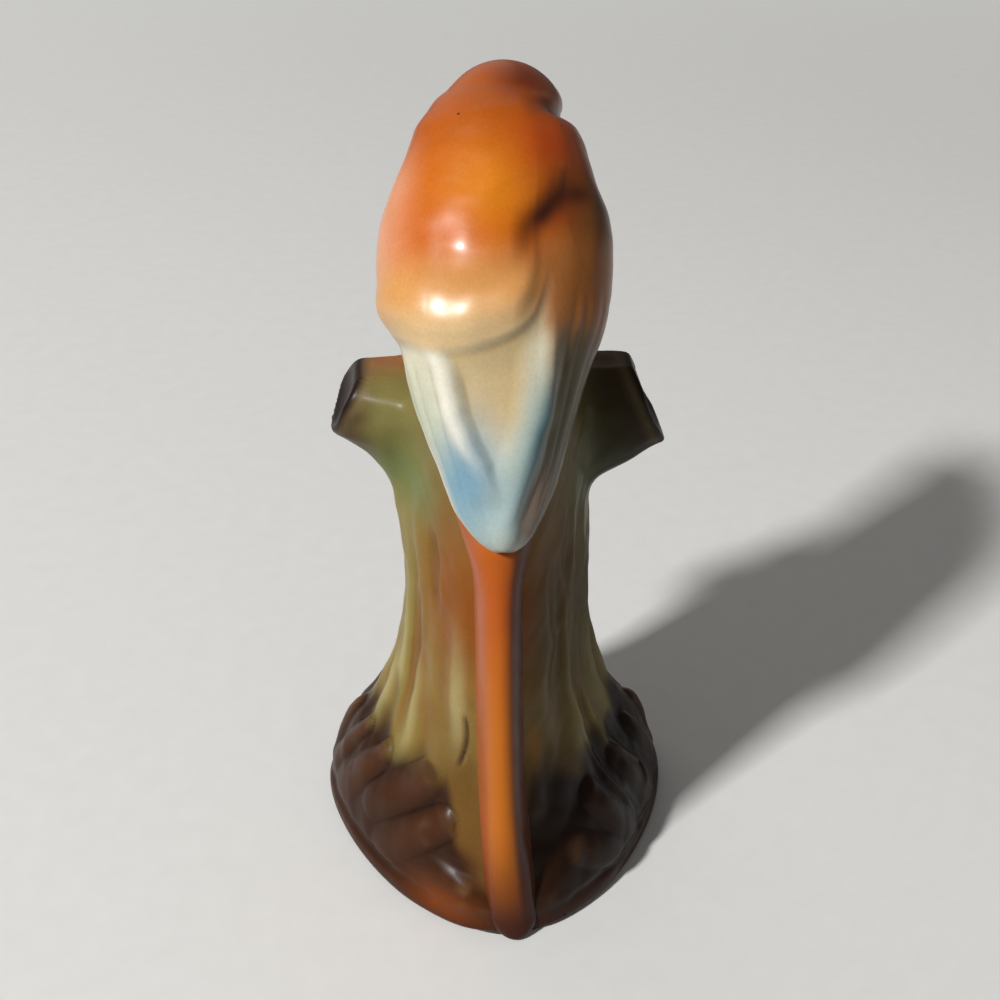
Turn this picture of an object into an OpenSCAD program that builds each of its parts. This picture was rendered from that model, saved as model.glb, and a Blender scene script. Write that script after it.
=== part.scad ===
/* [Stump] */
// Height of the stump from its foot to the perch
stump_h = 132; // [122:1:160]
// Width of the trunk at the floor, without the root aprons
foot_w = 89; // [74:1:107]
// Reach of the trunk at the floor behind its widest line
foot_back = 60; // [50:1:72]
// Reach of the trunk at the floor in front of its widest line
foot_front = 35; // [30:1:42]
// How far the widest line at the floor lies in front of the trunk axis
foot_shift = 5; // [0:0.5:8]
// Width of the trunk at its waist
waist_w = 45; // [37:0.5:54]
// Reach of the keel behind the trunk axis at the waist
waist_back = 39; // [34:1:47]
// Reach of the trunk in front of its axis at the waist
waist_front = 20; // [18:0.5:24]
// Height over which the foot flares into the waist
flare_h = 36; // [30:1:44]
// Height over which the keel flares into the waist behind
keel_flare_h = 27; // [22:1:34]
// Roundness of the keel in plan, where 2 is an ellipse and 1 a sharp edge
keel_power = 1.6; // [1.4:0.1:2]
// Radius of the rounded rim of the perch
perch_round = 6; // [3:0.5:8]
// Number of bark ridges around the trunk
bark_ridges = 13; // [8:1:18]
// Depth of the furrows between the bark ridges
bark_depth = 0.9; // [0:0.1:1.5]
// Thickness of the cast wall and floor
wall = 5; // [3.5:0.5:7]
// Diameter of the vent in the floor
vent_d = 10; // [6:1:14]
// Distance of the vent behind the trunk axis
vent_back = 18; // [12:1:24]

/* [Branches] */
// Reach of the branch skin from the trunk axis before it is sawn off
arm_reach = 46; // [44:1:52]
// Distance from the perch down to the height where a branch reaches full length
arm_drop = 16.5; // [14:0.5:20]
// Height over which the underside of a branch sweeps into the trunk
arm_sweep = 17.5; // [14:0.5:22]
// Half thickness of a branch from front to back
arm_depth = 14; // [10:0.5:16]
// Distance from the trunk axis to the flat joint of a branch
arm_joint = 26; // [25:0.5:28]
// Distance of the sawn face from the trunk axis, at the height of the perch
saw_reach = 31.6; // [30:0.2:36]
// Lean of the sawn face from upright, so that it looks a little upwards
saw_lean = 23.5; // [15:0.5:30]
// Depth of the dish in the sawn face
dish_d = 1.4; // [0.6:0.1:2]
// Width of the dish in the sawn face
dish_w = 16; // [10:1:18]

/* [Roots] */
// Thickness of a root apron
root_t = 2.4; // [1.5:0.1:3.5]
// Height of the aprons at the sides of the foot
root_side_h = 36; // [28:1:44]
// Height of the back aprons beside the tail
root_tail_h = 12; // [5:1:18]
// Height of the front aprons at the middle of the front
root_front_h = 18; // [10:1:26]
// How far the lobes lean towards the tail or the front, in degrees around the trunk
root_lean = 7; // [0:1:9]
// Number of lobes along the top of an apron
root_lobes = 4; // [3:1:5]
// Rise of each lobe above the notches beside it
root_lobe_h = 7; // [3:0.5:9]

/* [Bird] */
// Length of the torso along its back, from the rump tip to the nape
bird_l = 97; // [90:1:116]
// Incline of the back above the horizon
bird_lean = 59.5; // [55:0.5:64]
// How far the rump tip hangs below the perch
tip_drop = 19.4; // [16:0.2:24]
// How far the rump tip lies behind the keel of the trunk
tip_behind = 8; // [6:0.5:10]
// Sideways offset of the bird on the stump
bird_side = -1.3; // [-3:0.1:3]
// Width, rise of the back and depth of the belly at the rump tip
tip_size = [2.4, 2, 2]; // [1:0.1:6]
// Distance of the rump from the tip
rump_at = 24; // [18:1:30]
// Width, rise of the back and depth of the belly at the rump
rump_size = [27.6, 10, 20]; // [8:0.1:34]
// Distance of the widest section from the tip
breast_at = 56; // [50:1:62]
// Width, rise of the back and depth of the belly at the widest section
breast_size = [43.4, 15, 35]; // [12:0.1:54]
// Distance of the shoulders from the tip
shoulder_at = 80; // [74:1:84]
// Width, rise of the back and depth of the belly at the shoulders
shoulder_size = [34.4, 13, 27]; // [10:0.1:44]
// Width, rise of the back and depth of the belly at the nape
nape_size = [24, 9, 11]; // [7:0.1:29]
// Diameter of the vent between the bird and the stump
seat_vent_d = 12; // [8:1:14]

/* [Feathers] */
// Thickness of the folded flight feathers
wing_t = 2; // [1.4:0.1:3]
// Extra thickness of the wing coverts and the mantle
covert_t = 0.9; // [0.3:0.1:1.5]
// Distance of the lower edge of mantle and coverts from the rump tip
covert_at = 43; // [38:1:48]
// Number of flight feathers shown on each wing
feathers = 4; // [3:1:6]
// Depth of the grooves between the flight feathers
feather_groove = 0.7; // [0:0.1:1]
// Half gap between the wings where they meet near the rump tip
wing_gap_low = 1; // [0.6:0.1:2]
// Distance from the rump tip to where the wings meet
wings_meet = 10; // [4:1:20]
// Half gap between the wings at the mantle
wing_gap_high = 14; // [11:0.5:16]
// How far the lower edge of the mantle climbs on its right side
mantle_climb = 11; // [0:1:16]
// Width of the tail along the trunk
tail_w = 10.6; // [8:0.2:14]
// Width of the tail where it leaves the rump
tail_root_w = 22; // [14:0.5:24]
// How far the tail stands out from the keel
tail_proud = 7; // [5:0.5:9]
// Sideways offset of the tail along the trunk
tail_side = -1.8; // [-3:0.1:3]
// Sideways offset of the end of the tail at the floor
tail_end_side = 1.4; // [-3:0.1:3]
// Height over which the tail drifts from one offset to the other
tail_drift_h = 25; // [15:1:40]
// Height over which the end of the tail rounds off above the floor
tail_round = 6; // [4:0.5:9]

/* [Head] */
// Width of the head
head_w = 27.6; // [24:0.2:31]
// Length of the head from nape to brow
head_l = 32; // [27:0.5:36]
// Height of the head
head_h = 27; // [24:0.5:31]
// Turn of the head to its own right
head_turn = 8; // [0:1:25]
// Distance of the head centre below the nape, along the back
head_sink = 11; // [8:0.5:14]
// Distance of the head centre in front of the back line
head_fore = 7.3; // [5:0.1:10]
// Sideways offset of the head
head_side = 3.3; // [2:0.1:5]
// Radius of the hooked curve of the upper bill
bill_r = 9.5; // [8:0.5:12]
// Width of the upper bill at the face
bill_w = 11; // [8:0.5:13]
// Width of the lower bill at the face
jaw_w = 8; // [6:0.5:10]
// Diameter of an eye
eye_d = 5; // [3.5:0.1:6.5]
// Direction of the eyes, forwards from straight sideways
eye_ahead = 40; // [30:1:50]
// Direction of the eyes, upwards from level
eye_above = 14; // [6:1:22]
// Depth of the centre of an eye below the skin of the head
eye_sink = 1.4; // [0.5:0.1:1.7]

/* [Feet] */
// Distance of each foot from the middle plane of the bird
foot_side = 8; // [6:0.5:11]
// Thickness of a toe
toe_d = 4; // [3:0.1:5]
// Distance between the two front toes of a foot
toe_spread = 5; // [4:0.2:7]
// Thickness of the feathered leg at the belly
leg_d = 12; // [9:0.5:14]

/* [Joints] */
// Thickness of the slip that bonds one piece to the next
slip = 0.2; // [0.1:0.05:0.4]
// Thickness of a pressed piece at its feathered edge
edge_t = 0.6; // [0.4:0.1:1]

/* [Hidden] */

// Clay ground off the underside to make the foot flat
grind = 0.5;
// Radius of the rim where the trunk meets the floor
foot_round = 1.5;
// Height of pressed pieces above the floor
clear_floor = 2;
// How strongly trunk and branches keep apart where their skins blend
blend = 8;
// Size that is larger than the whole figure
beyond = 300;
// Steps around the trunk and around the bird
trunk_steps = 60;
bird_steps = 36;
// Distance over which the nape rounds off
nape_round = 9;
// Distance between rings of the torso skin, and between rows of a wing
ring_step = 4.85;
row_step = 6.1;
// Distance below the full reach of a branch where its joint starts
joint_drop = 24;
// Height over which a branch thins downwards
arm_thin_h = 30;
// How far a wing wraps past straight sideways at its ends, and more at its middle, in degrees
wing_wrap = 4;
wing_wrap_more = 30;
// Directions of the hook of the upper bill at the face and at its tip
hook_start = 112;
hook_end = -48;
// Depth of the bill's centre behind the brow, and its height above the chin
bill_inset = 3.5;
bill_above = 4.5;
// Reach of the lower bill, and its fall towards the tip
jaw_l = 8;
jaw_fall = 4.5;

back_line = [0, cos(bird_lean), sin(bird_lean)];
belly_line = [0, sin(bird_lean), -cos(bird_lean)];
rump_tip = [bird_side, -(waist_back + tip_behind), stump_h - tip_drop];
arm_z = stump_h - arm_drop;
head_centre = rump_tip + (bird_l - head_sink) * back_line + [head_side, head_fore, 0];

// Blend from a to b as t runs from 0 to 1
function mix(a, b, t) = a + (b - a) * t;

// S-shaped ramp from 0 at low to 1 at high
function ramp(low, high, x) =
    let (t = min(max((x - low) / (high - low), 0), 1))
    t * t * (3 - 2 * t);

// Index of the station at or below p
function station(t, p, i = 0) = i >= len(t) - 2 || p < t[i + 1][0] ? i : station(t, p, i + 1);

// Slope of the smooth curve at station i
function slope(t, i) =
    let (a = max(i - 1, 0), b = min(i + 1, len(t) - 1))
    (t[b][1] - t[a][1]) / (t[b][0] - t[a][0]);

// Smooth curve through a few [position, value] stations
function curve(t, p) =
    let (
        i = station(t, p),
        h = t[i + 1][0] - t[i][0],
        u = min(max((p - t[i][0]) / h, 0), 1),
        rise = u * u * (3 - 2 * u)
    )
    mix(t[i][1], t[i + 1][1], rise)
    + h * u * (1 - u) * ((1 - u) * slope(t, i) - u * slope(t, i + 1));

// Distance from the centre of a rounded outline to its edge in direction a
function oval(a, side, end, power) =
    pow(pow(abs(cos(a)) / side, power) + pow(abs(sin(a)) / end, power), -1 / power);

// Loss of reach on a quarter-round rim of radius r, at distance d inside its end
function rim_loss(r, d) = d < r ? r - sqrt(max(r * r - (r - d) * (r - d), 0)) : 0;

// Closed skin over a stack of rings of equal length
module loft(rings) {
    n = len(rings[0]);
    last = len(rings) - 1;
    sides = [
        for (i = [0:last - 1])
            for (j = [0:n - 1])
                let (a = i * n + j, b = i * n + (j + 1) % n)
                each [[a, a + n, b + n], [a, b + n, b]]
    ];
    caps = [[for (j = [0:n - 1]) j], [for (j = [0:n - 1]) last * n + n - 1 - j]];
    polyhedron([for (r = rings) each r], concat(sides, caps));
}

// Closed sheet between an under surface and an over surface, both functions of u and v from 0 to 1
module sheet(under, over, nu, nv) {
    w = nu + 1;
    m = w * (nv + 1);
    points = [
        for (f = [under, over])
            for (j = [0:nv])
                for (i = [0:nu])
                    f(i / nu, j / nv)
    ];
    skins = [
        for (j = [0:nv - 1])
            for (i = [0:nu - 1])
                let (a = j * w + i, b = a + w)
                each [
                    [a, b + 1, b], [a, a + 1, b + 1],
                    [m + a, m + b, m + b + 1], [m + a, m + b + 1, m + a + 1]
                ]
    ];
    rim = concat(
        [for (i = [0:nu]) i],
        [for (j = [1:nv]) j * w + nu],
        [for (i = [1:nu]) nv * w + nu - i],
        [for (j = [1:nv - 1]) (nv - j) * w]
    );
    walls = [
        for (k = [0:len(rim) - 1])
            let (a = rim[k], b = rim[(k + 1) % len(rim)])
            each [[a, m + a, m + b], [a, m + b, b]]
    ];
    polyhedron(points, concat(skins, walls));
}

// Round bar along a path of [x, y, z, half width, half thickness] that bends only forwards and down
module bar(path, sides) {
    last = len(path) - 1;
    loft([
        for (i = [0:last])
            let (
                p = path[i],
                go = path[min(i + 1, last)] - path[max(i - 1, 0)],
                run = norm([go[1], go[2]]),
                across = [0, go[2], -go[1]] / run
            )
            [
                for (k = [0:sides - 1])
                    let (a = 360 * k / sides)
                    [p[0], p[1], p[2]] + [p[3] * cos(a), 0, 0] + p[4] * sin(a) * across
            ]
    ]);
}

// Skins that are cut and joined while wet stay one continuous surface
module one_skin() {
    resize([0, 0, 0]) children();
}

// Bell curve that carries the flare of the foot up into the waist
function flare(z, h = flare_h) = exp(-pow(z / h, 2));

// Reach of one side of the trunk at height z
function reach(z, foot, waist, h = flare_h) =
    mix(waist, foot, flare(z, h)) - rim_loss(perch_round, stump_h - z) - rim_loss(foot_round, max(z, 0));

// Reach of the branches at height z, with an underside that sweeps up from the trunk
function branch_reach(z) = arm_reach * (z < arm_z ? exp(-pow((arm_z - z) / arm_sweep, 1.5)) : 1);

// Half thickness of the branches at height z, rounded off towards the perch
function branch_depth(z) =
    let (up = (z - arm_z) / (arm_drop + 1.5))
    arm_depth * (z < arm_z ? exp(-pow((arm_z - z) / arm_thin_h, 2)) : sqrt(1 - up * up));

// Furrows of the bark, fading out at the floor and under the branches
function bark(a, z) =
    -bark_depth * ramp(2, 14, z) * (1 - ramp(arm_z - joint_drop, arm_z, z))
    * (0.5 + 0.5 * cos(bark_ridges * a + 35 * sin(4 * z)));

// Distance of the trunk skin from its axis
function trunk_radius(a, z) =
    let (back = sin(a) < 0)
    oval(
        a,
        reach(z, foot_w / 2, waist_w / 2),
        back ? reach(z, foot_back, waist_back, keel_flare_h) : reach(z, foot_front, waist_front),
        back ? keel_power : 2
    );

// Distance of the ridge tops from the axis, where trunk and branches run into each other
function stump_radius(a, z) =
    pow(
        pow(trunk_radius(a, z), blend) + pow(oval(a, branch_reach(z), branch_depth(z), 2), blend),
        1 / blend
    );

// Point over the ridge tops in direction a at height z, moved outwards by out
function stump_point(a, z, out = 0) =
    let (r = stump_radius(a, z) + out)
    [r * cos(a), foot_shift * flare(z) + r * sin(a), z];

// Outer skin of trunk and branches
module stump_skin(out = 0) {
    trunk_rings = 13;
    trunk_top = arm_z - arm_sweep;
    arm_rings = 9;
    arm_top = stump_h - perch_round;
    heights = concat(
        [-grind, foot_round / 2],
        [for (i = [0:trunk_rings - 1]) mix(foot_round * 2, trunk_top, i / trunk_rings)],
        [for (i = [0:arm_rings - 1]) mix(trunk_top, arm_top, i / arm_rings)],
        [for (a = [0:30:90]) arm_top + perch_round * sin(a)]
    );
    loft([
        for (z = heights)
            let (lift = [0, 0, z == stump_h ? out : 0])
            [
                for (k = [0:trunk_steps - 1])
                    let (a = 360 * k / trunk_steps)
                    stump_point(a, z, out + bark(a, z)) + lift
            ]
    ]);
}

// Hollow that is left when the spare slip is poured out of the trunk mould
module stump_hollow() {
    rings = 10;
    steps = 24;
    top = stump_h - tip_drop + wall;
    loft([
        for (i = [0:rings])
            let (z = mix(wall, top, i / rings), tight = i == rings ? wall : 0)
            [
                for (k = [0:steps - 1])
                    let (a = 360 * k / steps, r = trunk_radius(a, z) - wall - bark_depth - tight)
                    [r * cos(a), foot_shift * flare(z) + r * sin(a), z]
            ]
    ]);
}

// Half space outside the flat joint of the branch on one side
module branch_side(side, inset = 0) {
    translate([side > 0 ? arm_joint + inset : -beyond - arm_joint - inset, -beyond / 2, arm_z - joint_drop])
        cube([beyond, beyond, beyond]);
}

// Half space outside the sawn face of the right branch, with the dish below it
module saw_cut() {
    face_z = mix(arm_z, stump_h, 1 / 3);
    translate([saw_reach, 0, stump_h]) rotate([0, -saw_lean, 0]) {
        translate([0, -beyond / 2, -beyond / 2]) cube([beyond, beyond, beyond]);
        dish_r = (dish_w * dish_w / 4 + dish_d * dish_d) / (2 * dish_d);
        translate([dish_r - dish_d, 0, (face_z - stump_h) / cos(saw_lean)]) sphere(dish_r, $fn = 60);
    }
}

// Vent that lets air and slip pass between bird and stump
module seat_vent() {
    translate([0, -waist_back / 3, stump_h - tip_drop]) cylinder(h = 2 * tip_drop, d = seat_vent_d, $fn = 24);
}

// Hollow cast trunk, with the seat of the bird pressed into its top
module stump() {
    color("#8a8a4a") difference() {
        one_skin() difference() {
            stump_skin();
            stump_hollow();
            torso_skin(slip);
            wing(slip);
            other_side() wing(slip);
            branch_side(1);
            branch_side(-1);
            translate([0, -vent_back, -wall]) cylinder(h = 3 * wall, d = vent_d, $fn = 24);
            seat_vent();
        }
        translate([-beyond / 2, -beyond / 2, -beyond]) cube([beyond, beyond, beyond]);
    }
}

// Sawn-off branch stub, bonded to the trunk on a flat face
module branch_stub() {
    one_skin() difference() {
        intersection() {
            stump_skin();
            branch_side(1, slip);
        }
        saw_cut();
        torso_skin(slip);
    }
}

module right_branch() {
    color("#4a2a1c") branch_stub();
}

module left_branch() {
    color("#6b5a34") mirror([1, 0, 0]) branch_stub();
}

// Root apron pressed on between directions a0 and a1, with a lobed top from height h0 to h1
module root_apron(a0, a1, h0, h1, lean) {
    top = function(u) mix(h0, h1, ramp(0, 1, u)) + root_lobe_h * abs(sin(180 * root_lobes * u));
    height = function(u, v) mix(clear_floor, top(u), v);
    thick = function(u, v)
        edge_t + (root_t - edge_t) * sqrt(1 - pow(v, 4)) * ramp(0, 0.06, min(u, 1 - u))
        * mix(1, 0.35 + 0.65 * abs(sin(180 * root_lobes * u)), v);
    turn = function(u, v) mix(a0, a1, u) + lean * v * sin(180 * mix(0.1, 0.9, u));
    under = function(u, v) stump_point(turn(u, v), height(u, v), slip);
    over = function(u, v) stump_point(turn(u, v), height(u, v), slip + thick(u, v));
    sheet(under, over, 16, 6);
}

module back_left_roots() {
    color("#4b2415") root_apron(183, 256, root_side_h, root_tail_h, root_lean);
}

module back_right_roots() {
    color("#3a1c12") root_apron(284, 357, root_tail_h, root_side_h, -root_lean);
}

module front_left_roots() {
    color("#4b2415") root_apron(94, 177, root_front_h, root_side_h, -root_lean);
}

module front_right_roots() {
    color("#3a1c12") root_apron(3, 86, root_side_h, root_front_h, root_lean);
}

// Size i of the bird at distance s from the rump tip: 0 half width, 1 rise of the back, 2 depth of the belly
function bird_size(i, s) =
    let (share = i == 0 ? 0.5 : 1)
    share * curve(
        [
            [0, tip_size[i]], [rump_at, rump_size[i]], [breast_at, breast_size[i]],
            [shoulder_at, shoulder_size[i]], [bird_l, nape_size[i]]
        ],
        s
    );

// Point of the torso skin at distance s, in direction t around the back line, moved outwards by out
function torso_point(t, s, out = 0) =
    let (
        end = sqrt(1 - pow(max(s - bird_l + nape_round, 0) / (nape_round + 0.5), 2)),
        side = bird_size(0, s) * end + out,
        deep = bird_size(sin(t) < 0 ? 1 : 2, s) * end + out
    )
    rump_tip + s * back_line + [side * cos(t), 0, 0] + deep * sin(t) * belly_line;

// Outer skin of the torso
module torso_skin(out = 0) {
    rings = round(bird_l / ring_step);
    loft([
        for (i = [0:rings])
            let (
                q = i / rings,
                s = bird_l * q,
                past = i == 0 ? -out : i == rings ? out : 0
            )
            [for (k = [0:bird_steps - 1]) torso_point(360 * k / bird_steps, s, out) + past * back_line]
    ]);
}

// Hollow of the torso, open to the stump through the seat vent
module torso_hollow() {
    rings = 7;
    steps = 18;
    loft([
        for (i = [0:rings])
            let (s = mix(rump_at + wall, shoulder_at + wall, i / rings), end = i == 0 || i == rings ? 2 : 1)
            [for (k = [0:steps - 1]) torso_point(360 * k / steps, s, -wall * end)]
    ]);
}

// Hollow cast body of the bird
module torso() {
    color("#e08a4a") one_skin() difference() {
        torso_skin();
        torso_hollow();
        seat_vent();
    }
}

// Half gap between the wings at distance s from the rump tip
function wing_gap(s) =
    mix(wing_gap_low, wing_gap_high, ramp(wings_meet, covert_at + 6, s)) - 5 * ramp(shoulder_at - 10, bird_l, s);

// Direction around the back line of a point of the back that lies x to the right
function back_direction(x, s) = 360 - acos(min(x / bird_size(0, s), 0.96));

// Thickness added where coverts and mantle lie over the flight feathers
function covert(s, edge) = covert_t * ramp(edge - 1.5, edge + 1.5, s);

// Mirror image about the middle plane of the bird
module other_side() {
    translate([2 * bird_side, 0, 0]) mirror([1, 0, 0]) children();
}

// Folded right wing, from the shoulder to the rump tip, or its bed with room for slip
module wing(bed = 0) {
    tip_s = 2 - bed;
    top_s = bird_l - nape_round - 1 + bed;
    along = function(v) mix(tip_s, top_s, v);
    wrap = function(v) wing_wrap + wing_wrap_more * sin(180 * min(v, 0.5)) + 4 * bed;
    turn = function(u, v) mix(back_direction(wing_gap(along(v)), along(v)), 360 + wrap(v), u);
    groove = function(u, v)
        feather_groove * (1 - ramp(covert_at - 2, covert_at + 2, along(v)))
        * pow(abs(cos(180 * feathers * u)), 4) * ramp(0.02, 0.2, v);
    thick = function(u, v)
        edge_t + (wing_t - edge_t) * ramp(0, 0.12, min(u, 1 - u)) * ramp(0, 0.1, min(v, 1 - v))
        + (covert(along(v), covert_at) - groove(u, v)) * ramp(0, 0.1, min(u, 1 - u));
    under = function(u, v) torso_point(turn(u, v), along(v), slip - bed);
    over = function(u, v) torso_point(turn(u, v), along(v), slip + thick(u, v) + bed);
    sheet(under, over, 12, round((top_s - tip_s) / row_step));
}

module right_wing() {
    color("#5f7f86") wing();
}

module left_wing() {
    color("#8fb0bd") other_side() wing();
}

// Mantle of the back between the wings, with the step of its lower edge
module mantle() {
    rim = 0.9;
    low = function(u) covert_at + mantle_climb * ramp(0.62, 1, u) + 1.5 * sin(180 * u);
    along = function(u, v) mix(low(u), bird_l - nape_round, v);
    turn = function(u, v)
        let (s = along(u, v), open = wing_gap(s) - rim)
        270 + (back_direction(open, s) - 270) * (2 * u - 1);
    thick = function(u, v)
        edge_t + (wing_t + covert_t - edge_t) * ramp(0, 0.14, min(u, 1 - u)) * ramp(-0.06, 0.06, v)
        * (1 - ramp(0.8, 1, v));
    under = function(u, v) torso_point(turn(u, v), along(u, v), slip);
    over = function(u, v) torso_point(turn(u, v), along(u, v), slip + thick(u, v));
    color("#e8742c") sheet(under, over, 12, 8);
}

// Half width of the tail at height z, spreading into the rump and rounded at the floor
function tail_half(z) =
    let (top = rump_tip[2])
    mix(tail_w, tail_root_w, pow(ramp(top - 26, top + 8, z), 2)) / 2
    * (z < tail_round ? sqrt(1 - 0.9 * pow(1 - z / tail_round, 2)) : 1);

// Long tail that runs straight down from the rump to the rim of the foot
module tail() {
    keel = function(z) -stump_point(270, z)[1];
    face = function(z) max(
        mix(foot_back - foot_shift, waist_back + tail_proud, z / rump_tip[2])
        - 0.7 * rim_loss(tail_round, z), keel(z) + slip + edge_t
    );
    drift = function(z) mix(tail_side, tail_end_side, exp(-z / tail_drift_h));
    turn = function(u, z) 270 + asin((drift(z) + tail_half(z) * (2 * u - 1)) / keel(z));
    height = function(v) mix(clear_floor, rump_tip[2] + 7, pow(v, 1.3));
    under = function(u, v)
        let (z = height(v))
        stump_point(turn(u, z), z, slip);
    over = function(u, v)
        let (
            z = height(v),
            low = under(u, v),
            side = max(under(0, v)[1], under(1, v)[1]) - edge_t,
            crown = pow(1 - pow(abs(2 * u - 1), 3.2), 0.5)
        )
        [
            drift(z) + (low[0] - drift(z)) * 1.02,
            min(mix(side, -face(z), crown), low[1] - edge_t),
            z
        ];
    color("#d2562a") one_skin() difference() {
        sheet(under, over, 10, 16);
        torso_skin(slip);
        wing(slip);
        other_side() wing(slip);
    }
}

// Place of a piece drawn on a head that looks straight ahead from the origin
module on_head() {
    translate(head_centre) rotate([0, 0, -head_turn]) children();
}

// Rounded head with fuller cheeks, before it is fitted to the torso
module head_skin(out = 0) {
    rings = 12;
    steps = 28;
    cheek = function(lat) 1 + 0.05 * sin(2 * max(-lat, 0));
    loft([
        for (i = [0:rings])
            let (lat = mix(-86, 86, i / rings))
            [
                for (k = [0:steps - 1])
                    let (a = 360 * k / steps)
                    [
                        (head_w / 2 + out) * cheek(lat) * cos(lat) * cos(a),
                        (head_l / 2 + out) * cos(lat) * sin(a),
                        (head_h / 2 + out) * sin(lat)
                    ]
            ]
    ]);
}

// Head set on the rounded nape
module head() {
    color("#d9531e") one_skin() difference() {
        on_head() head_skin();
        torso_skin(slip);
        wing(slip);
        other_side() wing(slip);
    }
}

// Hooked upper bill in the upright middle plane of the head
module bill_hook(out = 0) {
    steps = 8;
    root = [head_l / 2 - bill_inset, -head_h / 2 + bill_above];
    bar([
        for (i = [0:steps])
            let (t = i / steps, a = mix(hook_start, hook_end, t), size = sqrt(1 - 0.97 * pow(t, 1.6)))
            [
                0, root[0] + bill_r * cos(a), root[1] + bill_r * sin(a),
                bill_w / 2 * size + out, bill_w * 0.42 * size + out
            ]
    ], 12);
}

// Short lower bill behind the hook
module jaw_hook() {
    steps = 6;
    bar([
        for (i = [0:steps])
            let (t = i / steps, size = sqrt(1 - 0.9 * t * t))
            [
                0, head_l / 2 - 6 + jaw_l * t, -head_h / 2 + 5 - jaw_fall * t + 1.5 * t * t,
                jaw_w / 2 * size, jaw_w * 0.36 * size
            ]
    ], 12);
}

module upper_bill() {
    color("#d8c9a0") one_skin() difference() {
        on_head() bill_hook();
        on_head() head_skin(slip);
        torso_skin(slip);
    }
}

module lower_bill() {
    color("#b9a67c") one_skin() difference() {
        on_head() jaw_hook();
        on_head() head_skin(slip);
        on_head() bill_hook(slip);
        torso_skin(slip);
    }
}

// Eye button on one side of the head
module eye(side) {
    inset = 1 - eye_sink / (head_w / 2);
    place = [
        side * head_w / 2 * cos(eye_ahead) * cos(eye_above),
        head_l / 2 * sin(eye_ahead) * cos(eye_above),
        head_h / 2 * sin(eye_above)
    ];
    color("#1c1512") one_skin() difference() {
        on_head() translate(inset * place) sphere(d = eye_d, $fn = 16);
        on_head() head_skin(slip);
    }
}

module left_eye() {
    eye(-1);
}

module right_eye() {
    eye(1);
}

// Foot with two front toes curled over the rim of the perch
module perch_foot(side) {
    ankle_y = waist_front - perch_round - 7;
    ankle_z = stump_h + toe_d * 0.45;
    leg_top = 12;
    leg_back = 6;
    middle = bird_side + side * foot_side;
    steps = 7;
    color("#7a6a50") one_skin() difference() {
        union() {
            bar([
                for (i = [0:3])
                    let (t = i / 3, w = mix(leg_d, toe_d * 1.1, sqrt(t)) / 2)
                    [middle, ankle_y - leg_back * (1 - t), ankle_z + leg_top * (1 - t) - 1.5 * t, w, w]
            ], 10);
            for (toe = [-0.5, 0.5]) {
                x = middle + toe * toe_spread;
                rim_y = waist_front * sqrt(1 - pow(2 * x / waist_w, 2)) - perch_round;
                bend = perch_round + toe_d * 0.3;
                bar([
                    for (i = [0:steps])
                        let (
                            t = i / steps,
                            a = mix(90, -25, max(t - 0.2, 0) / 0.8),
                            w = toe_d / 2 * sqrt(1 - 0.85 * pow(t, 4))
                        )
                        [
                            mix(middle, x, ramp(0, 0.4, t)),
                            t < 0.2 ? mix(ankle_y, rim_y, t / 0.2) : rim_y + bend * cos(a),
                            stump_h - perch_round + bend * sin(a), w, w
                        ]
                ], 8);
            }
        }
        torso_skin(slip);
        stump_skin(slip);
    }
}

module left_foot() {
    perch_foot(-1);
}

module right_foot() {
    perch_foot(1);
}

stump();
left_branch();
right_branch();
back_left_roots();
back_right_roots();
front_left_roots();
front_right_roots();
torso();
mantle();
left_wing();
right_wing();
tail();
head();
upper_bill();
lower_bill();
left_eye();
right_eye();
left_foot();
right_foot();
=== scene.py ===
import bpy
import numpy as np
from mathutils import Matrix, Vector


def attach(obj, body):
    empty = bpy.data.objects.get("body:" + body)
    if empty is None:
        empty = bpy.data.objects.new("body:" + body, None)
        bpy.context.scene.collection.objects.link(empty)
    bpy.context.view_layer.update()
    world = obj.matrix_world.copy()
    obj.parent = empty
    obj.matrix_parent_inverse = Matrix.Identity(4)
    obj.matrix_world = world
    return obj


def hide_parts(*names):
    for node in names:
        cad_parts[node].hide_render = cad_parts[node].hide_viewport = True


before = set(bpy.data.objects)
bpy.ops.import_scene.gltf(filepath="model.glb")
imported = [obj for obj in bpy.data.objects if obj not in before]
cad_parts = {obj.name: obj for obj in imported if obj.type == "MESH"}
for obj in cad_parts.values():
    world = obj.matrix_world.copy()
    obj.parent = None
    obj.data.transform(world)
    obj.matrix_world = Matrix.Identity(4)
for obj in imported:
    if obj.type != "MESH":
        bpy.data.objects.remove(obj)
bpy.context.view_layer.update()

# Camera, floor and light: the figure stands on a wide pale sheet and is seen from behind and above.
# A soft lamp stands to the left on the viewer's side, and a pale surround fills the shadows.
stage = bpy.context.scene
stage.view_settings.view_transform = "Standard"

camera_lens = bpy.data.cameras.new("camera")
camera_lens.lens = 54
camera_lens.sensor_width = 36
camera_lens.clip_start = 0.01
camera = bpy.data.objects.new("camera", camera_lens)
camera.location = (-0.02063, -0.31082, 0.2891)
camera.rotation_euler = np.radians([58, 0, -4])
stage.collection.objects.link(camera)
stage.camera = camera

figure_middle = np.array([0, 0, 0.1])


def soft_lamp(name, towards, distance, width, power):
    """Square lamp at a distance from the middle of the figure, facing it."""
    towards = np.array(towards) / np.linalg.norm(towards)
    light = bpy.data.lights.new(name, "AREA")
    light.shape = "SQUARE"
    light.size = width
    light.energy = power
    lamp = bpy.data.objects.new(name, light)
    lamp.location = figure_middle + distance * towards
    lamp.rotation_euler = Vector(towards).to_track_quat("Z", "Y").to_euler()
    stage.collection.objects.link(lamp)


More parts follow.
